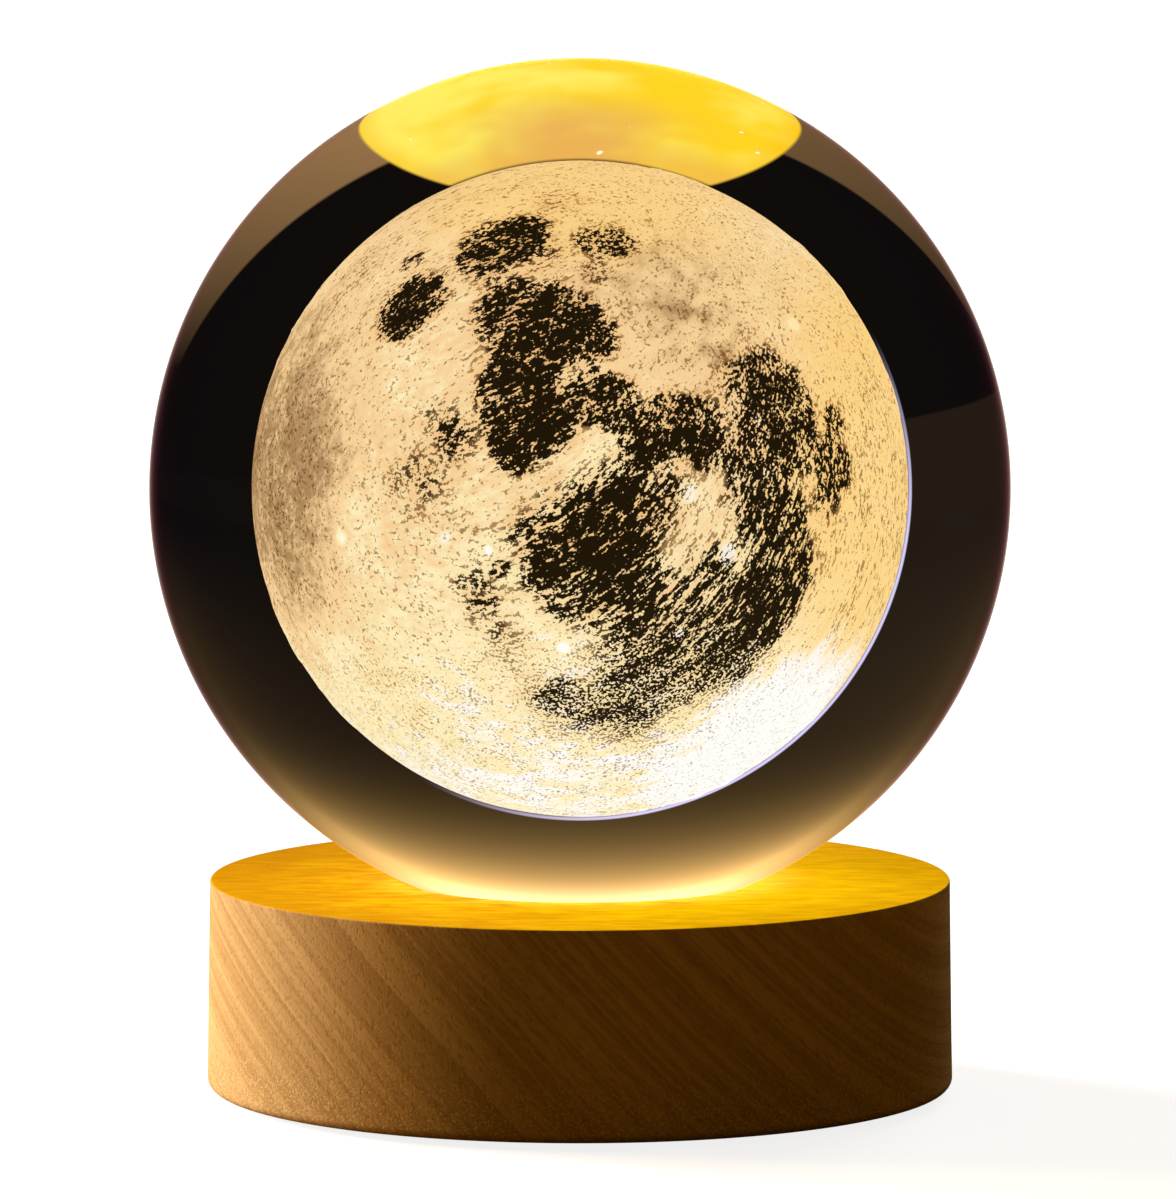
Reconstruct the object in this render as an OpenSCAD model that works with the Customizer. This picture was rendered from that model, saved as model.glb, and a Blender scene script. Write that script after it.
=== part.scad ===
// Moon lamp: a solid crystal ball with a moon engraved at its centre rests in the
// dished top of a round wooden base. The base holds the light that shines up into
// the ball, a control board, a power inlet and a push button.
// Millimetres. +Z is up, the front is -Y, and the inlet and button are at the back.
// The origin is on the table, under the centre of the base.

/* [Crystal ball] */
// Diameter of the crystal ball
ball_d = 80; // [76:1:86]
// Diameter of the moon engraved at the centre of the ball
moon_d = 40.4; // [34:0.4:48]
// Depth of the lowest point of the ball below the top of the wood
ball_sink = 3.6; // [3:0.1:4.4]
// Gap between the ball and its dished seat
seat_gap = 0.2; // [0.1:0.05:0.4]
// Gap between the engraved layer and the glass around it
engraving_gap = 0.05; // [0.02:0.01:0.1]

/* [Wooden base] */
// Diameter of the wood at its foot
base_d = 69.6; // [68:0.4:80]
// How far the top edge stands in from the foot, all round
base_draft = 0.3; // [0:0.1:1]
// Height of the wood
base_h = 19.5; // [18.5:0.5:26]
// Radius of the rounded edge at the foot
foot_edge_r = 0.9; // [0.3:0.1:1.2]
// Radius of the eased edge at the top
top_edge_r = 0.25; // [0.1:0.05:0.5]
// Diameter of the hollow turned out of the underside
pocket_d = 54; // [52:0.5:56]

/* [Light] */
// Diameter of the hole that lets the light into the dish
light_hole_d = 22; // [20:0.5:22.5]
// Diameter of the well that holds the lens and the reflector cup
well_d = 24; // [23.5:0.5:26]
// Gap all round the lens and the cup
well_gap = 0.1; // [0.05:0.05:0.2]
// Gap between the ball and the lens
lens_gap = 0.3; // [0.2:0.1:0.6]
// Thickness of the lens at its edge
lens_t = 1.2; // [0.8:0.1:1.6]
// Depth of the domed underside of the lens
lens_dome = 0.8; // [0.4:0.1:1.2]
// Diameter of that dome
lens_dome_d = 19; // [16:0.5:20]
// Height of the reflector cup
cup_h = 4.4; // [3.6:0.2:5]
// Inner diameter of the cup where it stands on the light board
cup_floor_d = 17; // [16.4:0.2:19]
// Wall of the cup at its upper rim
cup_rim = 1; // [0.6:0.1:1.4]
// Diameter of the light board
led_board_d = 34; // [33:0.5:36]
// Thickness of the light board
led_board_t = 1.2; // [0.8:0.2:1.6]
// Light packages in the ring, besides the one at the centre
led_count = 6; // [4:1:6]
// Diameter of the ring of light packages
led_ring_d = 10.4; // [9.6:0.2:11]
// Length of one light package
led_l = 3.5; // [3:0.1:3.6]
// Width of one light package
led_w = 2.8; // [2.4:0.1:3]
// Height of one light package
led_h = 0.8; // [0.6:0.1:1.2]
// Wall of the package around its phosphor
led_wall = 0.45; // [0.3:0.05:0.6]
// Depth of the phosphor in its package
phosphor_t = 0.45; // [0.2:0.05:0.5]
// Screws that hold the light board
led_screw_count = 3; // [3]
// Diameter of their circle
led_screw_circle_d = 29.4; // [28.8:0.2:30]

/* [Control board] */
// Length of the control board, front to back
board_l = 14.6; // [14.2:0.2:15]
// Thickness of the control board
board_t = 1; // [0.8:0.1:1.6]
// Height of the spacers between the board and the wood above it
spacer_h = 4; // [4:0.1:4.4]
// Outer diameter of a spacer
spacer_d = 4; // [3.4:0.2:4.4]
// Distance of the spacers from the back edge of the board
spacer_back = 7.6; // [7.2:0.2:8]
// Distance of the spacers from the sides of the board
spacer_side = 2.8; // [2.4:0.1:3]
// Gap round the board in its channel
board_gap = 0.4; // [0.2:0.1:0.6]
// Gap between the back edge of the board and the bezel
board_back_gap = 0.9; // [0.7:0.1:1.1]
// Width of the lead connector
connector_w = 6; // [5:0.5:6]
// Length of the lead connector
connector_l = 4.2; // [3.8:0.1:4.4]
// Height of the lead connector
connector_h = 2.4; // [2:0.1:2.6]
// Diameter of one lead
lead_d = 1.2; // [0.8:0.1:1.4]
// Distance between the two leads
lead_pitch = 2; // [1.8:0.1:2.5]
// Straight length of a lead before it bends up to the light board
lead_run = 1.5; // [0.5:0.1:2.5]

/* [Power inlet] */
// Width of the socket shell
usb_w = 8.94; // [8.9:0.02:9]
// Height of the socket shell
usb_h = 3.26; // [3.2:0.02:3.3]
// Length of the socket shell
usb_l = 7.35; // [7:0.05:7.6]
// Wall of the socket shell
usb_wall = 0.3; // [0.2:0.05:0.35]
// Distance of the mouth of the socket behind the face of the bezel
usb_setback = 1; // [0.8:0.1:1.4]
// Width of the tongue in the socket
tongue_w = 6.7; // [6.5:0.1:6.8]
// Thickness of the tongue
tongue_t = 0.7; // [0.6:0.05:0.8]
// Distance of the tip of the tongue behind the mouth
tongue_back = 0.9; // [0.5:0.1:1.2]
// Contacts on each side of the tongue
contact_count = 12; // [8:1:12]
// Distance between neighbouring contacts
contact_pitch = 0.5; // [0.45:0.01:0.52]
// Width of one contact
contact_w = 0.25; // [0.2:0.01:0.3]
// Length of one contact
contact_l = 3.6; // [3:0.1:4]
// Width of the recess for the moulded body of a plug
plug_w = 12.6; // [12.2:0.1:13]
// Height of that recess
plug_h = 6.8; // [6.4:0.1:7]

/* [Rear bezel] */
// Thickness of the bezel at its middle
bezel_t = 4.2; // [4:0.1:4.4]
// Rim of the bezel beside the plug recess and beside the button
bezel_rim = 2; // [1.8:0.1:2.2]
// Rim of the bezel above and below the plug recess
bezel_lip = 0.6; // [0.5:0.1:0.8]
// Radius of the corners of the bezel
bezel_corner_r = 2.5; // [1.5:0.1:3]
// Distance of the face of the bezel behind the surface of the wood
bezel_inset = 0.3; // [0.2:0.1:0.5]
// Ledge of wood behind each end of the bezel
bezel_ledge = 0.6; // [0.4:0.1:0.7]
// Gap all round the bezel
bezel_gap = 0.15; // [0.1:0.05:0.2]

/* [Power button] */
// Distance of the button from the middle of the inlet
button_x = 9.2; // [9.1:0.1:9.6]
// Diameter of the button
button_d = 4.2; // [3.8:0.1:4.6]
// Height of the button above the face of the bezel
button_proud = 0.9; // [0.7:0.1:1.4]
// Travel of the button
button_travel = 0.4; // [0.2:0.05:0.5]
// Running gap round the button and the switch plunger
button_gap = 0.1; // [0.05:0.01:0.1]
// Diameter of the flange that keeps the button in
flange_d = 5.6; // [5.2:0.1:6]
// Thickness of that flange
flange_t = 1; // [0.8:0.1:1]
// Width of the switch body
switch_w = 6; // [5.6:0.1:6]
// Length of the switch body
switch_l = 3.5; // [3.2:0.1:3.8]
// Height of the switch body
switch_h = 3.5; // [3.2:0.1:3.8]
// Width of the switch plunger
plunger_w = 2.6; // [2.2:0.1:3]
// Height of the switch plunger
plunger_h = 1.4; // [1.2:0.1:1.6]

/* [Bottom cover and feet] */
// Diameter of the cover disc
cover_d = 61.6; // [60.8:0.2:62.4]
// Thickness of the cover disc
cover_t = 2; // [1.6:0.1:2.4]
// Gap all round the cover disc
cover_gap = 0.2; // [0.1:0.05:0.3]
// Screws that hold the cover
cover_screw_count = 4; // [4]
// Rubber feet
foot_count = 4; // [3:1:4]
// Diameter of the circle of the feet
foot_circle_d = 44; // [40:0.5:46]
// Diameter of one foot
foot_d = 8; // [6:0.2:9]
// Thickness of one foot
foot_t = 1.4; // [1.2:0.1:1.8]
// Depth of the recess that holds a foot
foot_recess = 0.8; // [0.6:0.1:1]

/* [Screws] */
// Shank diameter of the board screws
board_screw_d = 1.6; // [1.4:0.1:1.8]
// Head diameter of the board screws
board_head_d = 3.2; // [2.8:0.1:3.4]
// Head height of the board screws
board_head_h = 1.2; // [0.8:0.1:1.4]
// Depth to which the board screws bite into the wood
board_screw_bite = 4.4; // [3:0.1:4.6]
// Shank diameter of the cover screws
cover_screw_d = 2; // [1.8:0.1:2.2]
// Head diameter of the cover screws
cover_head_d = 3.8; // [3.4:0.1:4]
// Depth to which the cover screws bite into the wood
cover_screw_bite = 6; // [4:0.2:8]
// Gap round every screw
screw_gap = 0.1; // [0.05:0.05:0.15]

/* [Hidden] */
$fn = 96;

// What a cut runs past the surface that it opens
cut = 0.5;

// Heights, from the table up to the ball
base_z = foot_t - foot_recess;
base_top_z = base_z + base_h;
cover_top_z = base_z + cover_t;
ball_r = ball_d / 2;
ball_z = base_top_z - ball_sink + ball_r;
seat_r = ball_r + seat_gap;

// Heights, from the ball down to the boards
lens_top_z = ball_z - ball_r - lens_gap;
lens_z = lens_top_z - lens_t;
ceiling_z = lens_z - cup_h;
led_board_z = ceiling_z - led_board_t;
board_top_z = ceiling_z - spacer_h;
board_z = board_top_z - board_t;
usb_z = board_top_z + usb_h / 2;

// Radii of the wood and what is turned in it
base_r = base_d / 2;
side_angle = atan(base_draft / base_h);
pocket_r = pocket_d / 2;
light_hole_r = light_hole_d / 2;
well_r = well_d / 2;
insert_r = well_r - well_gap;

// Rear bezel, seen from above: from the plug recess to the button
bezel_face_r = base_r - base_draft - bezel_inset;
bezel_back_y = bezel_face_r - bezel_t;
bezel_x0 = -plug_w / 2 - bezel_rim;
bezel_x1 = button_x + button_d / 2 + bezel_rim;
bezel_w = bezel_x1 - bezel_x0;
bezel_mid_x = (bezel_x0 + bezel_x1) / 2;
bezel_h = plug_h + 2 * bezel_lip;

// Channel in the wood behind the bezel, and the control board in it
channel_x0 = bezel_x0 + bezel_ledge;
channel_x1 = bezel_x1 - bezel_ledge;
board_x0 = channel_x0 + board_gap;
board_x1 = channel_x1 - board_gap;
board_mid_x = (board_x0 + board_x1) / 2;
board_back_y = bezel_back_y - board_back_gap;
board_front_y = board_back_y - board_l;
spacer_y = board_back_y - spacer_back;
spacer_x = [board_x0 + spacer_side, board_x1 - spacer_side];

// Power inlet
mouth_y = bezel_face_r - usb_setback;
usb_back_y = mouth_y - usb_l;
usb_inner_w = usb_w - 2 * usb_wall;
usb_inner_h = usb_h - 2 * usb_wall;
tongue_tip_y = mouth_y - tongue_back;
// Moulded block that carries the tongue at the back of the shell
tongue_block_l = 1.6;
// Gap between that block and the shell
tongue_gap = 0.04;
contact_t = 0.08;
contact_tip_gap = 0.5;

// Push button and its switch
flange_front_y = bezel_back_y - button_gap;
flange_back_y = flange_front_y - flange_t;
// Clear space left between the pressed flange and the switch
press_space = 0.2;
switch_front_y = flange_back_y - button_travel - press_space;
plunger_in = 1;
button_face_y = sqrt(pow(bezel_face_r, 2) - pow(button_x, 2)) + button_proud;
button_edge_r = 0.4;
// Gap between the flat edges of the flange and the board under it and wood over it
flange_flat_gap = 0.2;

// Lead connector, and the bend that takes each lead up to the light board
connector_front_y = board_front_y + 0.2;
lead_z = board_top_z + connector_h / 2;
lead_bend_r = led_board_z - lead_z;
lead_bend_y = connector_front_y - lead_run;

// Small parts on the control board
chip_w = 4.9;
chip_l = 3.9;
chip_h = 1.5;
chip_lift = 0.15;
chip_y = spacer_y + 0.7;
pin_count = 4;
pin_pitch = 1.27;
pin_w = 0.4;
pin_t = 0.2;
pin_reach = 1.05;
resistor_size = [2, 1.25, 0.5];
resistor_pitch = 1.9;
capacitor_size = [3.2, 1.6, 1.6];
edge_margin = 0.6;

// Screws
screw_circle_r = (pocket_r + cover_d / 2) / 2;
cover_head_h = (cover_head_d - cover_screw_d) / 2;
head_inset = 0.1;
screw_tip = 0.8;
cross_w = 0.4;
cross_part = 0.6;
cross_depth = 0.5;

// Points along an arc in the plane of a turned profile
function arc(centre, r, from, to, steps = 8) =
    [for (i = [0:steps]) let (a = from + (to - from) * i / steps)
        centre + r * [cos(a), sin(a)]];

// Distance of a foot or top fillet's centre from the axis, at height h above the foot
function fillet_x(h, r) = base_r - (r + h * sin(side_angle)) / cos(side_angle);

// Bar along Y with rounded corners, centred on x = 0 and z = 0
module rounded_bar(w, h, r, y0, y1) {
    translate([0, y0, 0]) rotate([-90, 0, 0]) linear_extrude(y1 - y0) {
        square([w - 2 * r, h], center = true);
        square([w, h - 2 * r], center = true);
        for (sx = [-1, 1], sz = [-1, 1])
            translate([sx * (w / 2 - r), sz * (h / 2 - r)]) circle(r);
    }
}

// Bar along Y with half-round sides, the section of the socket and its plug
module stadium_bar(w, h, y0, y1) {
    translate([0, y0, 0]) rotate([-90, 0, 0]) linear_extrude(y1 - y0) {
        square([w - h, h], center = true);
        for (sx = [-1, 1]) translate([sx * (w - h) / 2, 0]) circle(h / 2);
    }
}

// Copies on a circle round the axis of the lamp, the first at an angle
module on_circle(count, r, first = 0) {
    for (i = [0:count - 1]) rotate([0, 0, first + i * 360 / count])
        translate([r, 0, 0]) children();
}

// Cross recess for a driver, cut upward from z = 0
module cross_recess(head_d) {
    for (a = [0, 90]) rotate([0, 0, a])
        translate([-head_d * cross_part / 2, -cross_w / 2, -cut])
            cube([head_d * cross_part, cross_w, cross_depth + cut]);
}

// Screw driven upward: its shank starts at z = 0 and its head hangs below
module pan_screw(head_d, head_h, shank_d, shank_l) {
    difference() {
        translate([0, 0, -head_h]) cylinder(d = head_d, h = head_h);
        translate([0, 0, -head_h]) cross_recess(head_d);
    }
    cylinder(d = shank_d, h = shank_l - screw_tip);
    translate([0, 0, shank_l - screw_tip])
        cylinder(d1 = shank_d, d2 = shank_d / 4, h = screw_tip);
}

// Countersunk screw driven upward from z = 0
module flat_screw(head_d, head_h, shank_d, shank_l) {
    difference() {
        cylinder(d1 = head_d, d2 = shank_d, h = head_h);
        cross_recess(head_d);
    }
    translate([0, 0, head_h]) cylinder(d = shank_d, h = shank_l - head_h - screw_tip);
    translate([0, 0, shank_l - screw_tip])
        cylinder(d1 = shank_d, d2 = shank_d / 4, h = screw_tip);
}

// Solid glass ball with room for the engraved layer
module crystal_ball() {
    color("lightyellow", 0.4) translate([0, 0, ball_z]) difference() {
        sphere(ball_r);
        sphere(moon_d / 2 + engraving_gap);
    }
}

// The engraved moon, with the glass inside it
module engraved_moon() {
    color("navajowhite") translate([0, 0, ball_z]) sphere(moon_d / 2);
}

// Turned outline of the base: rounded foot, slight draft, eased top edge
module base_outline() {
    rotate_extrude() polygon(concat(
        [[0, base_z]],
        arc([fillet_x(foot_edge_r, foot_edge_r), base_z + foot_edge_r],
            foot_edge_r, -90, side_angle),
        arc([fillet_x(base_h - top_edge_r, top_edge_r), base_top_z - top_edge_r],
            top_edge_r, side_angle, 90),
        [[0, base_top_z]]
    ));
}

// Opening in the back of the wood for the bezel, and the channel behind it
module rear_opening() {
    translate([bezel_mid_x, 0, usb_z])
        rounded_bar(bezel_w + 2 * bezel_gap, bezel_h + 2 * bezel_gap,
            bezel_corner_r + bezel_gap, bezel_back_y, base_r + cut);
    translate([channel_x0, 0, cover_top_z - cut])
        cube([channel_x1 - channel_x0, bezel_back_y + cut, ceiling_z - cover_top_z + cut]);
}

// Wood base: dished seat, light hole, well, hollow, cover step and rear opening
module wooden_base() {
    color("burlywood") difference() {
        base_outline();
        translate([0, 0, ball_z]) sphere(seat_r);
        translate([0, 0, base_z]) cylinder(r = light_hole_r, h = base_h + cut);
        translate([0, 0, base_z]) cylinder(r = well_r, h = lens_top_z - base_z);
        translate([0, 0, base_z]) cylinder(r = pocket_r, h = ceiling_z - base_z);
        translate([0, 0, base_z - cut])
            cylinder(r = cover_d / 2 + cover_gap, h = cover_t + cut);
        rear_opening();
        translate([0, 0, cover_top_z - cut]) on_circle(cover_screw_count, screw_circle_r, 45)
            cylinder(d = cover_screw_d + 2 * screw_gap, h = cover_screw_bite + cut + screw_gap);
        translate([0, 0, ceiling_z - cut]) on_circle(led_screw_count, led_screw_circle_d / 2, 30)
            cylinder(d = board_screw_d + 2 * screw_gap, h = board_screw_bite + cut + screw_gap);
        for (x = spacer_x) translate([x, spacer_y, ceiling_z - cut])
            cylinder(d = board_screw_d + 2 * screw_gap, h = board_screw_bite + cut + screw_gap);
    }
}

// Frosted lens held up under the shoulder of the light hole
module diffuser_lens() {
    dome_r = (pow(lens_dome_d / 2, 2) + pow(lens_dome, 2)) / (2 * lens_dome);
    color("white", 0.8) {
        translate([0, 0, lens_z]) cylinder(r = insert_r, h = lens_t);
        intersection() {
            translate([0, 0, lens_z - lens_dome + dome_r]) sphere(dome_r);
            translate([0, 0, lens_z - lens_dome])
                cylinder(d = lens_dome_d, h = lens_dome + lens_t / 2);
        }
    }
}

// White cup round the lights, from the light board up to the lens
module reflector_cup() {
    color("white") rotate_extrude() polygon([
        [cup_floor_d / 2, ceiling_z],
        [insert_r, ceiling_z],
        [insert_r, lens_z],
        [insert_r - cup_rim, lens_z]
    ]);
}

// Metal-cored board that closes the well from below
module led_board() {
    color("whitesmoke") difference() {
        translate([0, 0, led_board_z]) cylinder(d = led_board_d, h = led_board_t);
        translate([0, 0, led_board_z - cut]) on_circle(led_screw_count, led_screw_circle_d / 2, 30)
            cylinder(d = board_screw_d + 2 * screw_gap, h = led_board_t + 2 * cut);
    }
}

// One copy at the centre and the others in a ring on the light board
module at_each_led() {
    translate([0, 0, ceiling_z]) {
        children();
        on_circle(led_count, led_ring_d / 2) rotate([0, 0, 90]) children();
    }
}

// Open white trays of the light packages
module led_packages() {
    color("ivory") at_each_led() difference() {
        translate([-led_l / 2, -led_w / 2, 0]) cube([led_l, led_w, led_h]);
        translate([-led_l / 2 + led_wall, -led_w / 2 + led_wall, led_h - phosphor_t])
            cube([led_l - 2 * led_wall, led_w - 2 * led_wall, phosphor_t + cut]);
    }
}

// Yellow phosphor that fills each tray
module led_phosphor() {
    color("gold") at_each_led()
        translate([-led_l / 2 + led_wall, -led_w / 2 + led_wall, led_h - phosphor_t])
            cube([led_l - 2 * led_wall, led_w - 2 * led_wall, phosphor_t]);
}

// Screws through the light board into the wood
module led_board_screws() {
    color("silver") translate([0, 0, led_board_z])
        on_circle(led_screw_count, led_screw_circle_d / 2, 30)
            pan_screw(board_head_d, board_head_h, board_screw_d, led_board_t + board_screw_bite);
}

// Board that carries the inlet, the switch and the driver
module control_board() {
    color("seagreen") difference() {
        translate([board_x0, board_front_y, board_z])
            cube([board_x1 - board_x0, board_l, board_t]);
        for (x = spacer_x) translate([x, spacer_y, board_z - cut])
            cylinder(d = board_screw_d + 2 * screw_gap, h = board_t + 2 * cut);
    }
}

// Spacers between the control board and the wood
module board_spacers() {
    color("silver") for (x = spacer_x) translate([x, spacer_y, board_top_z]) difference() {
        cylinder(d = spacer_d, h = spacer_h);
        translate([0, 0, -cut])
            cylinder(d = board_screw_d + 2 * screw_gap, h = spacer_h + 2 * cut);
    }
}

// Screws through the control board and the spacers into the wood
module control_board_screws() {
    color("silver") for (x = spacer_x) translate([x, spacer_y, board_z])
        pan_screw(board_head_d, board_head_h, board_screw_d,
            board_t + spacer_h + board_screw_bite);
}

// Folded metal shell of the socket, closed at the back
module usb_socket_shell() {
    color("silver") translate([0, 0, usb_z]) difference() {
        stadium_bar(usb_w, usb_h, usb_back_y, mouth_y);
        stadium_bar(usb_inner_w, usb_inner_h, usb_back_y + usb_wall, mouth_y + cut);
    }
}

// Tongue of the socket and the block that carries it
module usb_socket_tongue() {
    block_y = usb_back_y + usb_wall;
    color("dimgray") translate([0, 0, usb_z]) {
        stadium_bar(usb_inner_w - 2 * tongue_gap, usb_inner_h - 2 * tongue_gap,
            block_y, block_y + tongue_block_l);
        translate([-tongue_w / 2, block_y, -tongue_t / 2])
            cube([tongue_w, tongue_tip_y - block_y, tongue_t]);
    }
}

// Contacts laid on both sides of the tongue
module usb_contacts() {
    row_w = (contact_count - 1) * contact_pitch;
    contact_y = tongue_tip_y - contact_tip_gap - contact_l;
    color("gold") for (i = [0:contact_count - 1], side = [0, 1])
        translate([-row_w / 2 + i * contact_pitch - contact_w / 2, contact_y, usb_z])
            mirror([0, 0, side]) translate([0, 0, tongue_t / 2])
                cube([contact_w, contact_l, contact_t]);
}

// Body of the push switch, with a slot for its plunger
module switch_body() {
    color("dimgray") difference() {
        translate([button_x - switch_w / 2, switch_front_y - switch_l, board_top_z])
            cube([switch_w, switch_l, switch_h]);
        translate([button_x - plunger_w / 2 - button_gap,
                switch_front_y - plunger_in - button_travel - press_space,
                usb_z - plunger_h / 2 - button_gap])
            cube([plunger_w + 2 * button_gap,
                plunger_in + button_travel + press_space + cut,
                plunger_h + 2 * button_gap]);
    }
}

// Plunger of the switch, which the button pushes
module switch_plunger() {
    color("black") translate([button_x - plunger_w / 2, switch_front_y - plunger_in,
            usb_z - plunger_h / 2])
        cube([plunger_w, flange_back_y - switch_front_y + plunger_in, plunger_h]);
}

// Push button: a round cap with a soft edge, and a flange cut flat above and below
module power_button() {
    flat_z = board_top_z + flange_flat_gap;
    flat_h = spacer_h - 2 * flange_flat_gap;
    color("gray") translate([button_x, 0, usb_z]) {
        translate([0, flange_front_y, 0]) rotate([-90, 0, 0]) rotate_extrude() polygon(concat(
            [[0, 0], [button_d / 2, 0]],
            arc([button_d / 2 - button_edge_r, button_face_y - flange_front_y - button_edge_r],
                button_edge_r, 0, 90),
            [[0, button_face_y - flange_front_y]]
        ));
        intersection() {
            translate([0, flange_back_y, 0]) rotate([-90, 0, 0]) cylinder(d = flange_d, h = flange_t);
            translate([-flange_d, flange_back_y, flat_z - usb_z])
                cube([2 * flange_d, flange_t, flat_h]);
        }
    }
}

// Bezel pressed into the back of the wood; its face follows the round of the base
module rear_bezel() {
    color("dimgray") difference() {
        intersection() {
            translate([bezel_mid_x, 0, usb_z])
                rounded_bar(bezel_w, bezel_h, bezel_corner_r, bezel_back_y, base_r);
            cylinder(r = bezel_face_r, h = base_top_z);
        }
        translate([0, 0, usb_z]) {
            stadium_bar(usb_w + 2 * bezel_gap, usb_h + 2 * bezel_gap, bezel_back_y - cut, mouth_y + cut);
            stadium_bar(plug_w, plug_h, mouth_y, base_r + cut);
        }
        translate([button_x, bezel_back_y - cut, usb_z]) rotate([-90, 0, 0])
            cylinder(d = button_d + 2 * button_gap, h = bezel_t + 2 * cut);
    }
}

// Row of resistors along the front edge of the board
module chip_resistors() {
    color("black") for (i = [0:1], x = [board_x0 + edge_margin, board_x1 - edge_margin - resistor_size.x])
        translate([x, board_front_y + edge_margin + i * resistor_pitch, board_top_z])
            cube(resistor_size);
}

// Capacitor beside the inlet
module chip_capacitors() {
    color("tan") translate([board_x0 + edge_margin, board_back_y - edge_margin - capacitor_size.x,
            board_top_z])
        cube([capacitor_size.y, capacitor_size.x, capacitor_size.z]);
}

// Moulded body of the driver chip
module driver_chip() {
    color("black") translate([board_mid_x - chip_w / 2, chip_y - chip_l / 2, board_top_z + chip_lift])
        cube([chip_w, chip_l, chip_h]);
}

// Pins along both long sides of the driver chip
module driver_chip_pins() {
    row_w = (pin_count - 1) * pin_pitch;
    color("silver") for (i = [0:pin_count - 1], side = [0, 1])
        translate([board_mid_x - row_w / 2 + i * pin_pitch - pin_w / 2, chip_y, board_top_z])
            mirror([0, side, 0]) translate([0, chip_l / 2, 0]) {
                cube([pin_w, pin_reach, pin_t]);
                cube([pin_w, pin_t, chip_h / 2]);
            }
}

// Connector that the two leads plug into
module lead_connector() {
    color("white") translate([board_mid_x - connector_w / 2, connector_front_y, board_top_z])
        cube([connector_w, connector_l, connector_h]);
}

// One lead: straight out of the connector, then bent up to the light board
module lead(side) {
    translate([board_mid_x + side * lead_pitch / 2, lead_bend_y, lead_z]) {
        rotate([-90, 0, 0]) cylinder(d = lead_d, h = lead_run);
        translate([0, 0, lead_bend_r]) rotate([0, 90, 0]) rotate([0, 0, -90])
            rotate_extrude(angle = 90) translate([lead_bend_r, 0]) circle(d = lead_d);
    }
}

// Positive lead
module red_lead() {
    color("red") lead(-1);
}

// Negative lead
module black_lead() {
    color("black") lead(1);
}

// Cover disc under the base, with countersinks and recesses for the feet
module bottom_cover() {
    color("dimgray") difference() {
        translate([0, 0, base_z]) cylinder(d = cover_d, h = cover_t);
        translate([0, 0, base_z - cut]) on_circle(foot_count, foot_circle_d / 2)
            cylinder(d = foot_d + 2 * screw_gap, h = foot_recess + cut);
        on_circle(cover_screw_count, screw_circle_r, 45) {
            translate([0, 0, base_z - cut])
                cylinder(d = cover_screw_d + 2 * screw_gap, h = cover_t + 2 * cut);
            translate([0, 0, base_z - cut])
                cylinder(d = cover_head_d + 2 * screw_gap, h = head_inset + cut);
            translate([0, 0, base_z + head_inset])
                cylinder(d1 = cover_head_d + 2 * screw_gap, d2 = cover_screw_d + 2 * screw_gap,
                    h = cover_head_h);
        }
    }
}

// Countersunk screws through the cover into the wood
module bottom_cover_screws() {
    color("silver") translate([0, 0, base_z + head_inset])
        on_circle(cover_screw_count, screw_circle_r, 45)
            flat_screw(cover_head_d, cover_head_h, cover_screw_d,
                cover_t - head_inset + cover_screw_bite);
}

// Rubber feet pressed into the cover
module rubber_feet() {
    color("black") on_circle(foot_count, foot_circle_d / 2) cylinder(d = foot_d, h = foot_t);
}

crystal_ball();
engraved_moon();
wooden_base();
diffuser_lens();
reflector_cup();
led_board();
led_packages();
led_phosphor();
led_board_screws();
control_board();
board_spacers();
control_board_screws();
usb_socket_shell();
usb_socket_tongue();
usb_contacts();
switch_body();
switch_plunger();
power_button();
rear_bezel();
chip_resistors();
chip_capacitors();
driver_chip();
driver_chip_pins();
lead_connector();
red_lead();
black_lead();
bottom_cover();
bottom_cover_screws();
rubber_feet();
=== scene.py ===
# %% [markdown]
# # A moon lamp: crystal ball, engraved moon, wooden base
#
# The lamp was built in CAD first. That model is loaded here as a fixed frame, and this lesson
# dresses it: a clear ball without the hollow that the CAD needs, a moon with real relief, and a
# finish for every piece. Sizes are in metres. The front of the lamp faces -Y and +Z is up.

import math

import bmesh
import bpy
import numpy as np
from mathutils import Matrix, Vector


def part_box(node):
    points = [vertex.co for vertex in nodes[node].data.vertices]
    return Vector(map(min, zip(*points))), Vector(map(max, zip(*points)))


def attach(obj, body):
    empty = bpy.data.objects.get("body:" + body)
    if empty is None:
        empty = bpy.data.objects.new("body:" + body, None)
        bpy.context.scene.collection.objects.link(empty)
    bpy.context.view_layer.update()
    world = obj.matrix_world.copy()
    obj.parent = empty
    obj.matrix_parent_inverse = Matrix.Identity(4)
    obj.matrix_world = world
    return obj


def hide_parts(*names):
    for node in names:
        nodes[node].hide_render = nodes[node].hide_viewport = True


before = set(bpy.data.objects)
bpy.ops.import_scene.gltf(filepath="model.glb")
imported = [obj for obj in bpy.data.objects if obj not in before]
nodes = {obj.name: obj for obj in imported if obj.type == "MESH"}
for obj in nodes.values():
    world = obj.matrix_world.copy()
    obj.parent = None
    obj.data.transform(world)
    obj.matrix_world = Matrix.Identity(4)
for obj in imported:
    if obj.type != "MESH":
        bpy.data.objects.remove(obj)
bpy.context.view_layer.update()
MM = 0.001
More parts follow.
